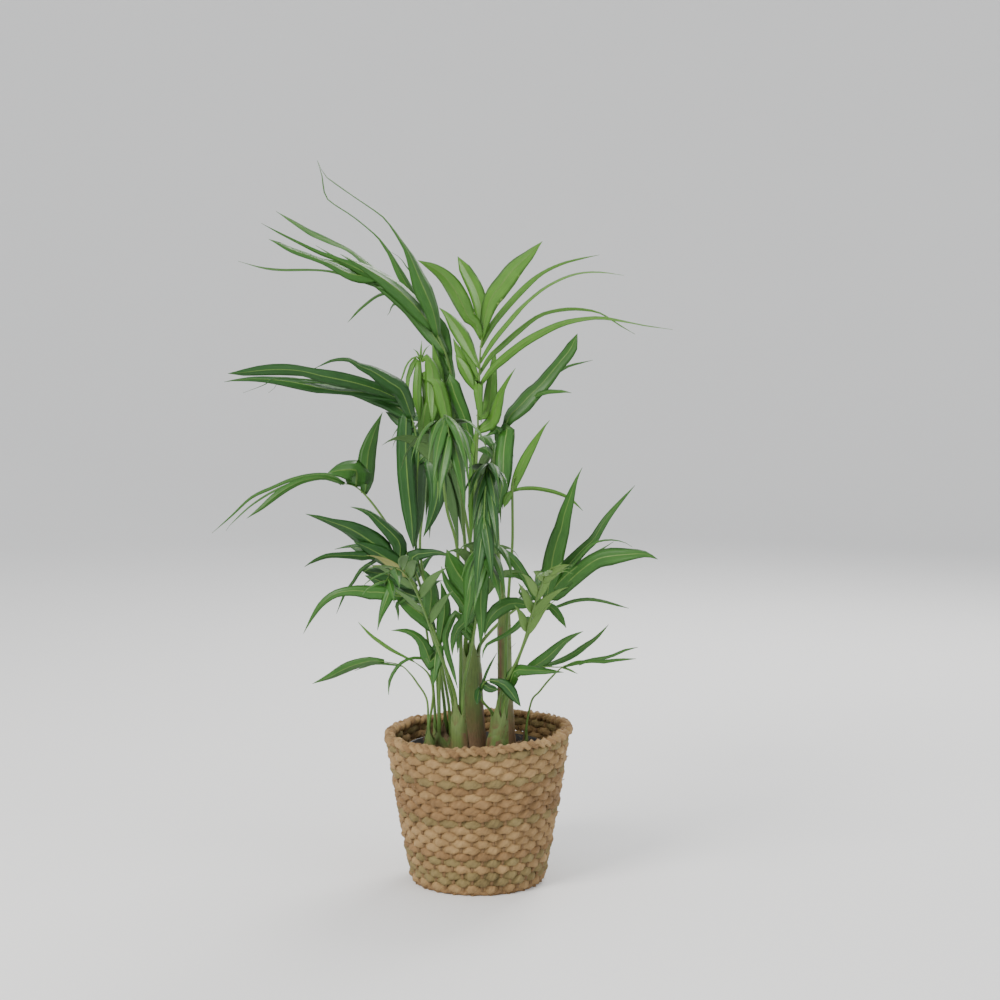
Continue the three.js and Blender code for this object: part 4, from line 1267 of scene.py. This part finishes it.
FRONDS["basal_right"] = {
    "stem": "front_right", "sheath": 180, "blade": 0.5, "tone": "deep", "slender": 0.7,
    "along": [(6, -58, 236), (5, -62, 252), (12, -72, 262), (28, -80, 261)],
    "leaves": [
        (0.85, -92, (6, 9, 14, 16, 14, 8), [(32, 258), (41, 250), (48, 240), (56, 228)]),
        (0.5, -84, (5, 8, 9, 8, 5), [(2, 250), (0, 240), (-1, 230)]),
        (0.6, -82, (6, 10, 11, 11, 8), [(8, 257), (14, 253), (20, 251), (27, 250)]),
        (0.5, -80, (2.5, 3.5, 4, 3.5, 2.5), [(8, 262), (14, 278), (25, 299)]),
    ],
}
FRONDS["low_centre"] = {
    "stem": "front_left", "sheath": 330, "blade": 0.45, "tone": "mid",
    "along": [(-4, -70, 330), (6, -104, 420), (10, -150, 440), (10, -195, 410)],
    "leaves": [
        (0.62, -116, (8, 18, 20, 16, 8), [(6, 400), (4, 365), (5, 335), (3, 305)]),
        (0.7, -124, (8, 16, 18, 14, 8), [(-8, 400), (-10, 372), (-14, 350), (-16, 325)]),
        (0.5, -84, (8, 14, 16, 12, 7), [(-12, 345), (-26, 330), (-32, 312), (-33, 295)]),
        (0.45, -84, (8, 20, 28, 28, 20), [(-14, 385), (-25, 402), (-34, 418), (-40, 434)]),
        (0.4, -84, (6, 12, 14, 13, 10, 6), [(-20, 364), (-31, 378), (-41, 393), (-47, 412)]),
        (0.38, -76, (7, 10, 10, 9, 8, 7, 5), [(-27, 350), (-37, 335), (-42, 318), (-39, 298), (-33, 278),
         (-26, 252)]),
        (0.36, -72, (6, 9, 8, 5), [(-22, 330), (-25, 315), (-26, 298)]),
    ],
    "pairs": {"count": 5, "length": 95, "splay": 30, "lift": -10, "hang": 0.9, "width": 16},
}

# %% [markdown]
# The fronds that lean straight towards the eye or away from it show their leaflets in even
# pairs. They are noted by a rule instead: how many pairs, the longest leaflet, how far the
# pairs spread from the rib, how much they rise at first, how much they hang, and their width.

# %% Fronds that lean to the front and the back
FRONDS["front_centre"] = {
    "stem": "front_left", "sheath": 60, "blade": 0.55, "tone": "mid",
    "along": [(-22, -48, 330), (-26, -52, 433), (-40, -58, 489), (-46, -70, 560), (-44, -105, 600),
              (-40, -155, 606), (-36, -200, 580)],
    "pairs": {"count": 9, "length": 122, "splay": 28, "lift": -20, "hang": 1.0, "width": 18},
}
FRONDS["front_right_arch"] = {
    "stem": "right", "sheath": 260, "blade": 0.5, "tone": "deep",
    "along": [(26, -40, 430), (20, -80, 510), (14, -130, 545), (10, -185, 510), (8, -220, 460)],
    "pairs": {"count": 8, "length": 105, "splay": 16, "lift": -14, "hang": 1.0, "width": 15},
}
FRONDS["back_centre"] = {
    "stem": "back", "sheath": 100, "blade": 0.5, "tone": "deep",
    "along": [(-8, 60, 430), (-32, 110, 560), (-42, 165, 612), (-46, 220, 600), (-48, 262, 540)],
    "pairs": {"count": 10, "length": 150, "splay": 30, "lift": -20, "hang": 0.95, "width": 18},
}
FRONDS["back_right"] = {
    "stem": "right", "sheath": 135, "blade": 0.5, "tone": "mid",
    "along": [(28, 50, 420), (23, 100, 520), (20, 150, 570), (18, 205, 550), (17, 245, 490)],
    "pairs": {"count": 8, "length": 105, "splay": 20, "lift": -14, "hang": 1.0, "width": 15},
}
FRONDS["low_front_left"] = {
    "stem": "front_left", "sheath": 245, "blade": 0.45, "tone": "mid",
    "along": [(-50, -90, 300), (-80, -130, 380), (-104, -180, 410), (-120, -230, 390)],
    "pairs": {"count": 6, "length": 70, "splay": 40, "lift": 10, "hang": 0.4, "width": 14},
}
FRONDS["low_front_right"] = {
    "stem": "front_right", "sheath": 245, "blade": 0.45, "tone": "fresh",
    "along": [(56, -90, 300), (70, -125, 350), (86, -170, 395), (94, -210, 402)],
    "pairs": {"count": 6, "length": 62, "splay": 34, "lift": 8, "hang": 0.3, "width": 12},
}
FRONDS["low_back_left"] = {
    "stem": "left", "sheath": 72, "blade": 0.5, "tone": "deep",
    "along": [(-56, 50, 310), (-82, 100, 380), (-104, 160, 410), (-122, 215, 390)],
    "pairs": {"count": 6, "length": 70, "splay": 40, "lift": 10, "hang": 0.4, "width": 14},
}
FRONDS["low_back_right"] = {
    "stem": "back", "sheath": 10, "blade": 0.5, "tone": "mid",
    "along": [(30, 60, 340), (66, 100, 370), (92, 160, 400), (100, 205, 395)],
    "pairs": {"count": 6, "length": 60, "splay": 36, "lift": 5, "hang": 0.45, "width": 13},
}
print(len(STEMS), "stems and", len(FRONDS), "fronds")

# %% [markdown]
# ## From notes to places
#
# A place on the front elevation is turned into a real one by moving it along the line of sight
# to its depth. The stalk and rib then follow one smooth curve from the sheath through all the
# noted places.

# %% Places and curves
SOIL_MM = SOIL_LEVEL / MM
STAND = SOIL_MM + 0.3  # the stems stand this close on the soil
PETIOLE = (2.8, 1.9)  # radius at the sheath and where the leaflets begin
RIB = (1.7, 0.6)  # radius where the leaflets begin and at the end
STALK_GAP, STALK_LIFT = 0.3, 0.6  # how a stalk keeps clear inside and above its stem's edge
FIRST_OUT, FIRST_UP = 0.16, 0.36  # a stalk rises before it goes out: shares of its first stretch


def sighted(across, behind, up):
    """The real place of a point that is set out on the front elevation."""
    flat = Vector((across, 0, up))
    return EYE + (flat - EYE) * (1 + behind / -EYE.y)


def unsighted(place):
    """Across and up on the front elevation of a real place."""
    near = (Vector(place) - EYE) / (1 + place[1] / -EYE.y) + EYE
    return near.x, near.z


def mix(start, end, share):
    """The number at a share of the way from start to end."""
    return start + (end - start) * share


def curve_at(points, t):
    """A place on the smooth curve through the points, at t from 0 to 1."""
    last = len(points) - 1
    spot = min(max(t, 0.0), 1.0) * last
    i = min(int(spot), last - 1)
    b, c = points[i], points[i + 1]
    a = points[i - 1] if i > 0 else 2 * b - c
    d = points[i + 2] if i + 2 <= last else 2 * c - b
    return between(a, b, c, d, spot - i)


def heading(points, t):
    """The way that the curve runs at t."""
    step = 0.01
    return (curve_at(points, min(1, t + step)) - curve_at(points, max(0, t - step))).normalized()


def frond_line(frond):
    """The places that the stalk and rib pass through, from the sheath to the last leaflet."""
    stem = STEMS[frond["stem"]]
    turn = math.radians(frond["sheath"])
    ring = stem["radii"][1] - PETIOLE[0] - STALK_GAP
    foot = Vector((stem["top"][0] + ring * math.cos(turn), stem["top"][1] + ring * math.sin(turn),
                   SOIL_MM + stem["height"] + STALK_LIFT))
    way = [sighted(*place) for place in frond["along"]]
    lift = foot.lerp(way[0], FIRST_OUT)
    lift.z = mix(foot.z, way[0].z, FIRST_UP)
    return [foot, lift, *way]


# %% [markdown]
# ## Leaflets
#
# A kentia leaflet is a long blade, folded like a low roof along its midrib, with the midrib
# proud on the upper side and edges that wave a little. The section is drawn with twelve points
# and carried along the midrib's curve. It turns slowly as it goes, so no two blades catch the
# light alike. The tips of some blades have dried brown.

# %% Section of a blade
ACROSS = np.array([-1, -0.58, -0.07, 0, 0.07, 0.58, 1])  # from edge to edge over the top
CREST = np.array([0.12, 0.34, 0.24, 0.62, 0.24, 0.34, 0.12])  # rise over the middle plane, in mm
RIB_FACES = (2, 3)  # the two faces of the section that are the midrib
UNDER = np.array([0.62, 0.16, 0, -0.16, -0.62])
BELLY_SIDE = np.array([0.22, 0.26, 0.42, 0.26, 0.22])
SECTION_X = np.concatenate([ACROSS, UNDER])
SECTION_Z = np.concatenate([CREST, -BELLY_SIDE])
TOP_FACES = len(ACROSS) - 1
KINDS = {tone: index * 2 for index, tone in enumerate(LEAF_TONES)}
DRY = 2 * len(LEAF_TONES)
LEAF_MATERIALS = [skin for pair in LEAF_TONES.values() for skin in pair] + [dry_tip, leaf_rib]
BLADE_STEPS = (9, 24)  # the fewest and the most
STEP_MM = 8
FOLD = 16  # degrees that each half slopes at the foot
FOLD_LOSS = 0.5  # the share of the fold that is gone at the tip
UNTURNED = 0.3  # the share of the length where a blade's own turn is nothing
WAVE_MM = (38, 60)
WAVE_RISE = 0.05  # as a share of half the blade's width
WAVE_LAG = 0.9  # radians by which the two edges differ from the midrib
WAVE_TURN = 6.28  # a full turn, to two places
THINNEST, FULL_THICKNESS = 0.5, 2.2  # the least width, and the half width at full thickness


def width_at(widths, share):
    """The width at a share of the length, from widths at even steps and a pointed tip."""
    known = np.array([*widths, 0.0])
    spots = np.linspace(0, 1, len(known))
    return np.interp(share, spots, known)


def blade(bundle, path, widths, facing, tone, luck, twist=12, dry=0.0):
    """A folded blade along a path in millimetres, its upper side turned to `facing`.

    It may twist by up to so many degrees, and this share of it at the tip is dry."""
    rough_length = sum((b - a).length for a, b in zip(path, path[1:]))
    steps = int(min(BLADE_STEPS[1], max(BLADE_STEPS[0], rough_length / STEP_MM)))
    centres, length = smooth_through([tuple(p) for p in path], steps)
    ways = directions(centres)
    shares = np.linspace(0, 1, steps)
    wide = width_at(widths, shares)
    turns = math.radians(luck.uniform(-twist, twist)) * (shares - UNTURNED)
    edge_wave = luck.uniform(*ANY_PHASE)
    waves = length / luck.uniform(*WAVE_MM)
    lag = np.sign(SECTION_X) * WAVE_LAG
    rings = []
    for k in range(steps):
        side = np.cross(facing, ways[k])
        side /= max(np.linalg.norm(side), TINY)
        normal = np.cross(ways[k], side)
        spun = side * math.cos(turns[k]) + normal * math.sin(turns[k])
        normal = np.cross(ways[k], spun)
        half = max(wide[k], THINNEST) / 2
        slim = min(1.0, half / FULL_THICKNESS)
        steep = math.radians(FOLD) * (1 - FOLD_LOSS * shares[k])
        drop = -np.abs(SECTION_X) * half * math.sin(steep)
        wave = np.sin(waves * WAVE_TURN * shares[k] + edge_wave + lag)
        rise = drop + WAVE_RISE * half * SECTION_X ** 2 * wave + SECTION_Z * slim
        rings.append(centres[k] + np.outer(SECTION_X * half * math.cos(steep), spun)
                     + np.outer(rise, normal))
    first = KINDS[tone]
    dry_from = steps * (1 - dry)

    def kind_of(k, i):
        """Which of the leaf's finishes a face has."""
        if k >= dry_from:
            return DRY
        if i in RIB_FACES:
            return DRY + 1
        return first if i < TOP_FACES else first + 1

    def chart(k, i):
        """Where a corner lies on the leaf's map, with U along the blade."""
        spot = SECTION_X[i % len(SECTION_X)]
        return k / (steps - 1) * length / MAP_MM, 0.5 + 0.5 * spot

    bundle.skin(rings, kind_of, chart)


# %% Lay out a frond's leaflets
FRONT = Vector((0, -1, 0.25)).normalized()
SAG = 10  # how far a long leaflet's middle may leave its depth, in mm
LONG = 150  # how long it has to be for that, in mm
TILT = 32  # how far it may turn from the front, in degrees
EASED = 1.02  # its widths are this much over the noted ones
DRY_CHANCE, DRY_SHARE = 0.25, 0.08


def noted_leaflet(bundle, line, note, tone, luck):
    """A leaflet that is noted by the way of its midrib."""
    place, behind, widths, way = note
    base = curve_at(line, place)
    flat = [unsighted(base), *way]
    steps = [math.dist(a, b) for a, b in zip(flat, flat[1:])]
    sag = luck.uniform(-SAG, SAG) * min(1, sum(steps) / LONG)
    path, run = [base], 0.0
    for (x, z), step in zip(way, steps):
        run += step / sum(steps)
        depth = mix(base.y, behind, run) + sag * math.sin(math.pi * run)
        path.append(sighted(x, depth, z))
    chord = (path[-1] - path[0]).normalized()
    tilt = math.radians(luck.uniform(-TILT, TILT))
    facing = FRONT.copy()
    facing.rotate(Quaternion(chord, tilt))
    true_widths = [width / math.cos(tilt) * EASED for width in widths]
    dry = DRY_SHARE if luck.random() < DRY_CHANCE else 0.0
    blade(bundle, path, true_widths, np.array(facing), tone, luck, dry=dry)


UP = Vector((0, 0, 1))
BENDS = 7  # stretches in a hanging leaflet
PULL = 0.14  # how much one stretch falls from the last, at a hang of 1
STAGGER = 0.3  # how far the two of a pair stand apart, as a share of the space for a pair
PAIR_WIDTHS = (0.25, 0.8, 1.0, 0.98, 0.86, 0.66, 0.4, 0.2)  # from foot to tip
OLD_CHANCE = 0.03
PAIR_DRY_CHANCE, PAIR_DRY_SHARE = 0.2, 0.1
PAIR_TWIST = 30
SHORTEST = 0.66  # the end pairs' least length, as a share of the longest
SPREAD_LOSS = 0.45  # the pairs close up towards the tip
VARIES = {"place": (0.1, 1), "spread": (0.75, 1.25), "lift": (-10, 14), "length": (0.84, 1.08),
          "hang": (0.6, 1.25), "width": (0.85, 1.12), "facing": (0.3, 0.9)}


def paired_leaflets(bundle, line, rule, start, tone, luck):
    """Pairs of leaflets that spread from the rib and bend down along their length."""
    count = rule["count"]
    for i in range(count):
        for hand in (-1, 1):
            share = (i + 0.5 + STAGGER * hand * luck.uniform(*VARIES["place"])) / count
            place = mix(start, 1, share)
            base = curve_at(line, place)
            forward = heading(line, place)
            sideways = forward.cross(UP).normalized()
            over = sideways.cross(forward)
            splay = rule["splay"] * (1 - SPREAD_LOSS * share)
            spread = math.radians(splay * luck.uniform(*VARIES["spread"]))
            raised = math.radians(rule["lift"] + luck.uniform(*VARIES["lift"]))
            bow = math.sin(math.pi * (0.2 + 0.7 * share))  # the middle pairs are the longest
            reach = rule["length"] * mix(SHORTEST, 1, bow) * luck.uniform(*VARIES["length"])
            way = forward * math.cos(spread) + sideways * hand * math.sin(spread)
            way = way * math.cos(raised) + over * math.sin(raised)
            pull = PULL * rule["hang"] * luck.uniform(*VARIES["hang"])
            path = [base]
            for bend in range(BENDS):
                path.append(path[-1] + way * reach / BENDS)
                way = (way - UP * pull * (1 + 0.45 * bend)).normalized()
            wide = rule["width"] * luck.uniform(*VARIES["width"])
            aside = sideways * hand * luck.uniform(*VARIES["facing"])
            facing = over + forward * 0.5 + aside
            kind = "old" if luck.random() < OLD_CHANCE else tone
            dry = PAIR_DRY_SHARE if luck.random() < PAIR_DRY_CHANCE else 0.0
            blade(bundle, path, [wide * part for part in PAIR_WIDTHS], np.array(facing), kind,
                  luck, twist=PAIR_TWIST, dry=dry)


# %% [markdown]
# ## Stalk and rib
#
# A kentia's stalk is rounded below and has a shallow channel on the side that faces the plant's
# middle. It is drawn from a section of twelve points along the frond's line, thick at the
# sheath and fine at the last leaflet.

# %% Section of a stalk
STALK_SIDES = 12
STALK_STEPS = 46
ROOTED = 12  # how deep in its sheath a stalk starts, in mm
FLAT_FROM = 0.4  # the share of the radius where the inner side is flattened
FLATNESS = 0.2
CHANNEL_DEPTH, CHANNEL_WIDTH = 0.22, 0.35
INNER_RISE = 60  # the channel faces a place this far up from its level, in mm

stalk_turns = np.arange(STALK_SIDES) * FULL_TURN / STALK_SIDES
STALK_X = np.cos(stalk_turns)
round_z = np.sin(stalk_turns)
channel = CHANNEL_DEPTH * np.exp(-(STALK_X / CHANNEL_WIDTH) ** 2)
flat_z = FLAT_FROM + (round_z - FLAT_FROM) * FLATNESS - channel
STALK_Z = np.where(round_z > FLAT_FROM, flat_z, round_z)


def stalk(bundle, line, blade_start, slender):
    """The petiole and the rib of one frond, which may be slenderer than most."""
    rings = []
    for k in range(STALK_STEPS):
        t = k / (STALK_STEPS - 1)
        centre = curve_at(line, t)
        forward = heading(line, t)
        inner = Vector((-centre.x, -centre.y, INNER_RISE)).normalized()
        side = forward.cross(inner).normalized()
        facing = side.cross(forward)
        if t < blade_start:
            radius = mix(*PETIOLE, t / blade_start)
        else:
            radius = mix(*RIB, (t - blade_start) / (1 - blade_start))
        radius *= mix(slender, 1, t)
        ring = [centre + (side * float(x) + facing * float(z)) * radius
                for x, z in zip(STALK_X, STALK_Z)]
        rings.append([tuple(place) for place in ring])
    rings.insert(0, [(x, y, z - ROOTED) for x, y, z in rings[0]])
    total = (line[-1] - line[0]).length
    bundle.skin(rings, lambda k, i: 0,
                lambda k, i: (k / STALK_STEPS * total / MAP_MM, i / STALK_SIDES))


# %% Grow the fronds
blades_made = 0
for name, frond in FRONDS.items():
    luck = random.Random(name)
    line = frond_line(frond)
    rib = Bundle()
    stalk(rib, line, frond["blade"], frond.get("slender", 1))
    hand_over(rib.piece([stalk_green], "stalk"), f"stalk_{name}", "petiole", f"petiole_{name}")
    leaves = Bundle()
    for note in frond.get("leaves", []):
        noted_leaflet(leaves, line, note, frond["tone"], luck)
        blades_made += 1
    if "pairs" in frond:
        paired_leaflets(leaves, line, frond["pairs"], frond["blade"], frond["tone"], luck)
        blades_made += 2 * frond["pairs"]["count"]
    hand_over(leaves.piece(LEAF_MATERIALS), f"leaflets_{name}", "leaf", f"frond_{name}")
print(blades_made, "leaflets")

# %% [markdown]
# ## Stems and sheaths
#
# A seedling's stem is hidden by the leaf sheaths that wrap it. Old sheaths at the foot are
# brown and fibrous, and the young ones further up are green and close round the stalk that
# grows out of them. The core is a disc that is extruded upwards level by level and scaled to
# its taper. A sheath is a flat grid that is rolled round the stem, drawn in towards its stalk
# at the top and given thickness by a modifier.


# %% The core of a stem
def flare(stem, share):
    """The stem's radius in millimetres at a share of its height."""
    foot, top = stem["radii"]
    return top + (foot - top) * (1 - share) ** 3


def stem_axis(stem, share):
    """The middle of the stem at a share of its height."""
    foot, top = Vector(stem["foot"]), Vector(stem["top"])
    middle = foot.lerp(top, share)
    return Vector((middle.x, middle.y, STAND + stem["height"] * share))


def ease(share):
    """A smooth step from 0 to 1."""
    share = min(1.0, max(0.0, share))
    return share * share * (3 - 2 * share)


SPEAR = 12  # how far the folded new leaf stands out of the core, in mm
SPEAR_TIP = 0.4  # its radius, in mm
CORE_SHARE = 0.94  # of the stem's radius, up to where the core draws in
CORE_LOSS, DRAWN_FROM = 0.62, 0.6
CORE_LEVELS, CORE_SIDES = 18, 40
FURROW_RISE, SCAR_RISE = 0.09, 0.025  # as shares of the radius
SCAR_PITCH = 9  # mm from one ring scar to the next


def core_radius(stem, share):
    """The core keeps inside the sheaths and draws in to the new leaf at its top."""
    drawn = ease((share - DRAWN_FROM) / (1 - DRAWN_FROM))
    return flare(stem, min(1, share)) * (CORE_SHARE - CORE_LOSS * drawn)


def stem_core(stem, seed):
    """A tapering core with the ring scars and furrows of old sheaths."""
    shares = [level / CORE_LEVELS for level in range(CORE_LEVELS + 1)]
    radii = [core_radius(stem, share) for share in shares] + [SPEAR_TIP]
    shares.append(1 + SPEAR / stem["height"])
    only()
    bpy.ops.mesh.primitive_circle_add(vertices=CORE_SIDES, radius=radii[0] * MM,
                                      fill_type="NGON", location=stem_axis(stem, 0) * MM)
    core = bpy.context.object
    bpy.ops.object.mode_set(mode="EDIT")
    bpy.ops.mesh.select_all(action="SELECT")
    for before, after, radius, ahead_radius in zip(shares, shares[1:], radii, radii[1:]):
        ahead = stem_axis(stem, after) * MM
        move = ahead - stem_axis(stem, before) * MM
        bpy.ops.mesh.extrude_region_move(TRANSFORM_OT_translate={"value": move})
        scale = ahead_radius / radius
        bpy.ops.transform.resize(value=(scale, scale, 1), center_override=ahead)
    facing_out()
    bpy.ops.object.transform_apply(location=True, rotation=False, scale=False)
    at = coordinates(core)
    for place in at:
        share = (place[2] / MM - STAND) / stem["height"]
        axis = stem_axis(stem, share) * MM
        turn = math.atan2(place[1] - axis.y, place[0] - axis.x)
        furrow = noise.noise(Vector((math.cos(turn) * 3, math.sin(turn) * 3, share * 2 + seed)))
        scar = math.sin(share * stem["height"] / SCAR_PITCH * FULL_TURN + 2 * furrow)
        swell = 1 + FURROW_RISE * furrow + SCAR_RISE * scar
        place[0] = axis.x + (place[0] - axis.x) * swell
        place[1] = axis.y + (place[1] - axis.y) * swell
    reshape(core, at)
    core.data.materials.append(stem_bark)
    smooth(core, 50)
    return core


# %% A sheath round the stem
SHEATH_GRID = (32, 28)  # faces round the sheath and up it
SHEATH_WALL = 0.6 * MM
SHEATH_STEP = 3  # mm from one mouth down to the next older one
CLIMB_STEPS, CLIMB_SHARE = 24, 60  # the first 24 of 60 places on the stalk's line
WRAP = (160, 104)  # degrees that a sheath reaches round either way, below and at the stalk
SHEATH_GAP, LAYER = 0.4, 0.6  # mm from the stem to the innermost sheath, and from one to the next
FOOT_STEP = 0.14  # a sheath starts this share of the stem's height above the next older one
TORN = 2.5  # mm that the mouth's edge is torn up or down
CREASES, CREASE = 44, 0.22  # how close the creases are and how far they rise, in mm
CRUMPLE = 0.5  # mm that it is crumpled besides


def sheath(stem, frond, order, layers, seed):
    """A rolled sheath whose slanting mouth draws out into the frond's stalk.

    The oldest is the outermost and the shortest: its order is 0, of so many layers."""
    only()
    bpy.ops.mesh.primitive_grid_add(x_subdivisions=SHEATH_GRID[0], y_subdivisions=SHEATH_GRID[1],
                                    size=2)
    made = bpy.context.object
    line = frond_line(frond)
    climb = [curve_at(line, k / CLIMB_SHARE) for k in range(CLIMB_STEPS)]
    levels, climb_x, climb_y = ([spot[axis] for spot in climb] for axis in (2, 0, 1))
    tall = stem["height"]
    inner = layers - 1 - order
    mouth = tall - SHEATH_STEP * inner
    tongue = min(34, 12 + 0.25 * tall)  # how far the mouth rises at the stalk
    slant = min(16, 0.3 * tall)  # and how far it falls at the back
    below = min(18, 0.5 * tall)  # how far under its mouth it starts to draw in
    foot_height = tall * FOOT_STEP * order
    girth = PETIOLE[0] * frond.get("slender", 1) + 0.25
    aim = math.radians(frond["sheath"])
    at = coordinates(made)
    for place in at:
        across, up = place[0], (place[1] + 1) / 2
        torn = TORN * noise.noise(Vector((across * 6, seed, 2)))
        crest = mouth + tongue * math.exp(-(2.6 * across) ** 2) + (torn - slant) * abs(across)
        height = mix(foot_height, crest, up)
        over = ease((height - mouth + below) / (tongue + below))
        share = min(1.0, height / tall)
        axis = stem_axis(stem, share)
        level = STAND + height
        stalk_x = np.interp(level, levels, climb_x)
        stalk_y = np.interp(level, levels, climb_y)
        crumple = CRUMPLE * noise.noise(Vector((across * 3, up * 2, seed)))
        uneven = CREASE * math.cos(across * CREASES) + crumple
        around = flare(stem, share) + SHEATH_GAP + LAYER * inner + uneven
        radius = mix(around, girth, over)
        turn = aim + across * math.radians(mix(*WRAP, over))
        place[0] = mix(axis.x, stalk_x, over) + radius * math.cos(turn)
        place[1] = mix(axis.y, stalk_y, over) + radius * math.sin(turn)
        place[2] = level
    reshape(made, at * MM)
    wall_modifier = made.modifiers.new("wall", "SOLIDIFY")
    wall_modifier.thickness = SHEATH_WALL
    wall_modifier.offset = 0
    only(made)
    bpy.ops.object.modifier_apply(modifier="wall")
    made.data.materials.append(sheath_skin)
    smooth(made, 60)
    return made


# %% Fibres torn from the sheaths
STEM_FIBRES = 16
FIBRE_REACH = (12, 34)  # mm
FIBRE_RADII = (0.3, 0.55)
FIBRE_TURN = 6.28  # a full turn, to two places


def stem_fibres(stem, luck):
    """Coarse brown fibres that curl away from the margins of the sheaths."""
    threads = Bundle()
    for _ in range(STEM_FIBRES):
        share = luck.uniform(0.25, 1.0)
        outward, sideways = ways_at(luck.uniform(0, FIBRE_TURN))
        start = stem_axis(stem, share) + outward * (flare(stem, share) + 0.4)
        reach = luck.uniform(*FIBRE_REACH) * min(1, stem["height"] / 60 + 0.3)
        climb = upward(luck.uniform(-0.2, 0.9)) * reach * 0.4
        first = start + outward * 1.5 + climb + sideways * luck.uniform(-4, 4)
        second = first + outward * luck.uniform(0, 3) + climb + sideways * luck.uniform(-7, 7)
        thin_tube(threads, [start - outward, first, second], luck.uniform(*FIBRE_RADII), steps=8)
    return threads.piece([sheath_fibre])


# %% Build every stem
CORE_SEED, SHEATH_SEED = 3.7, 5.1  # how far apart in the noise the stems lie
for number, (name, stem) in enumerate(STEMS.items()):
    core = stem_core(stem, number * CORE_SEED)
    on_stem = [frond for frond in FRONDS.values() if frond["stem"] == name]
    parts = [sheath(stem, frond, order, len(on_stem), number * SHEATH_SEED + order)
             for order, frond in enumerate(on_stem)]
    fibres = stem_fibres(stem, random.Random(name))
    hand_over(joined([*parts, fibres, core]), f"sheathed_stem_{name}", "stem", f"stem_{name}")
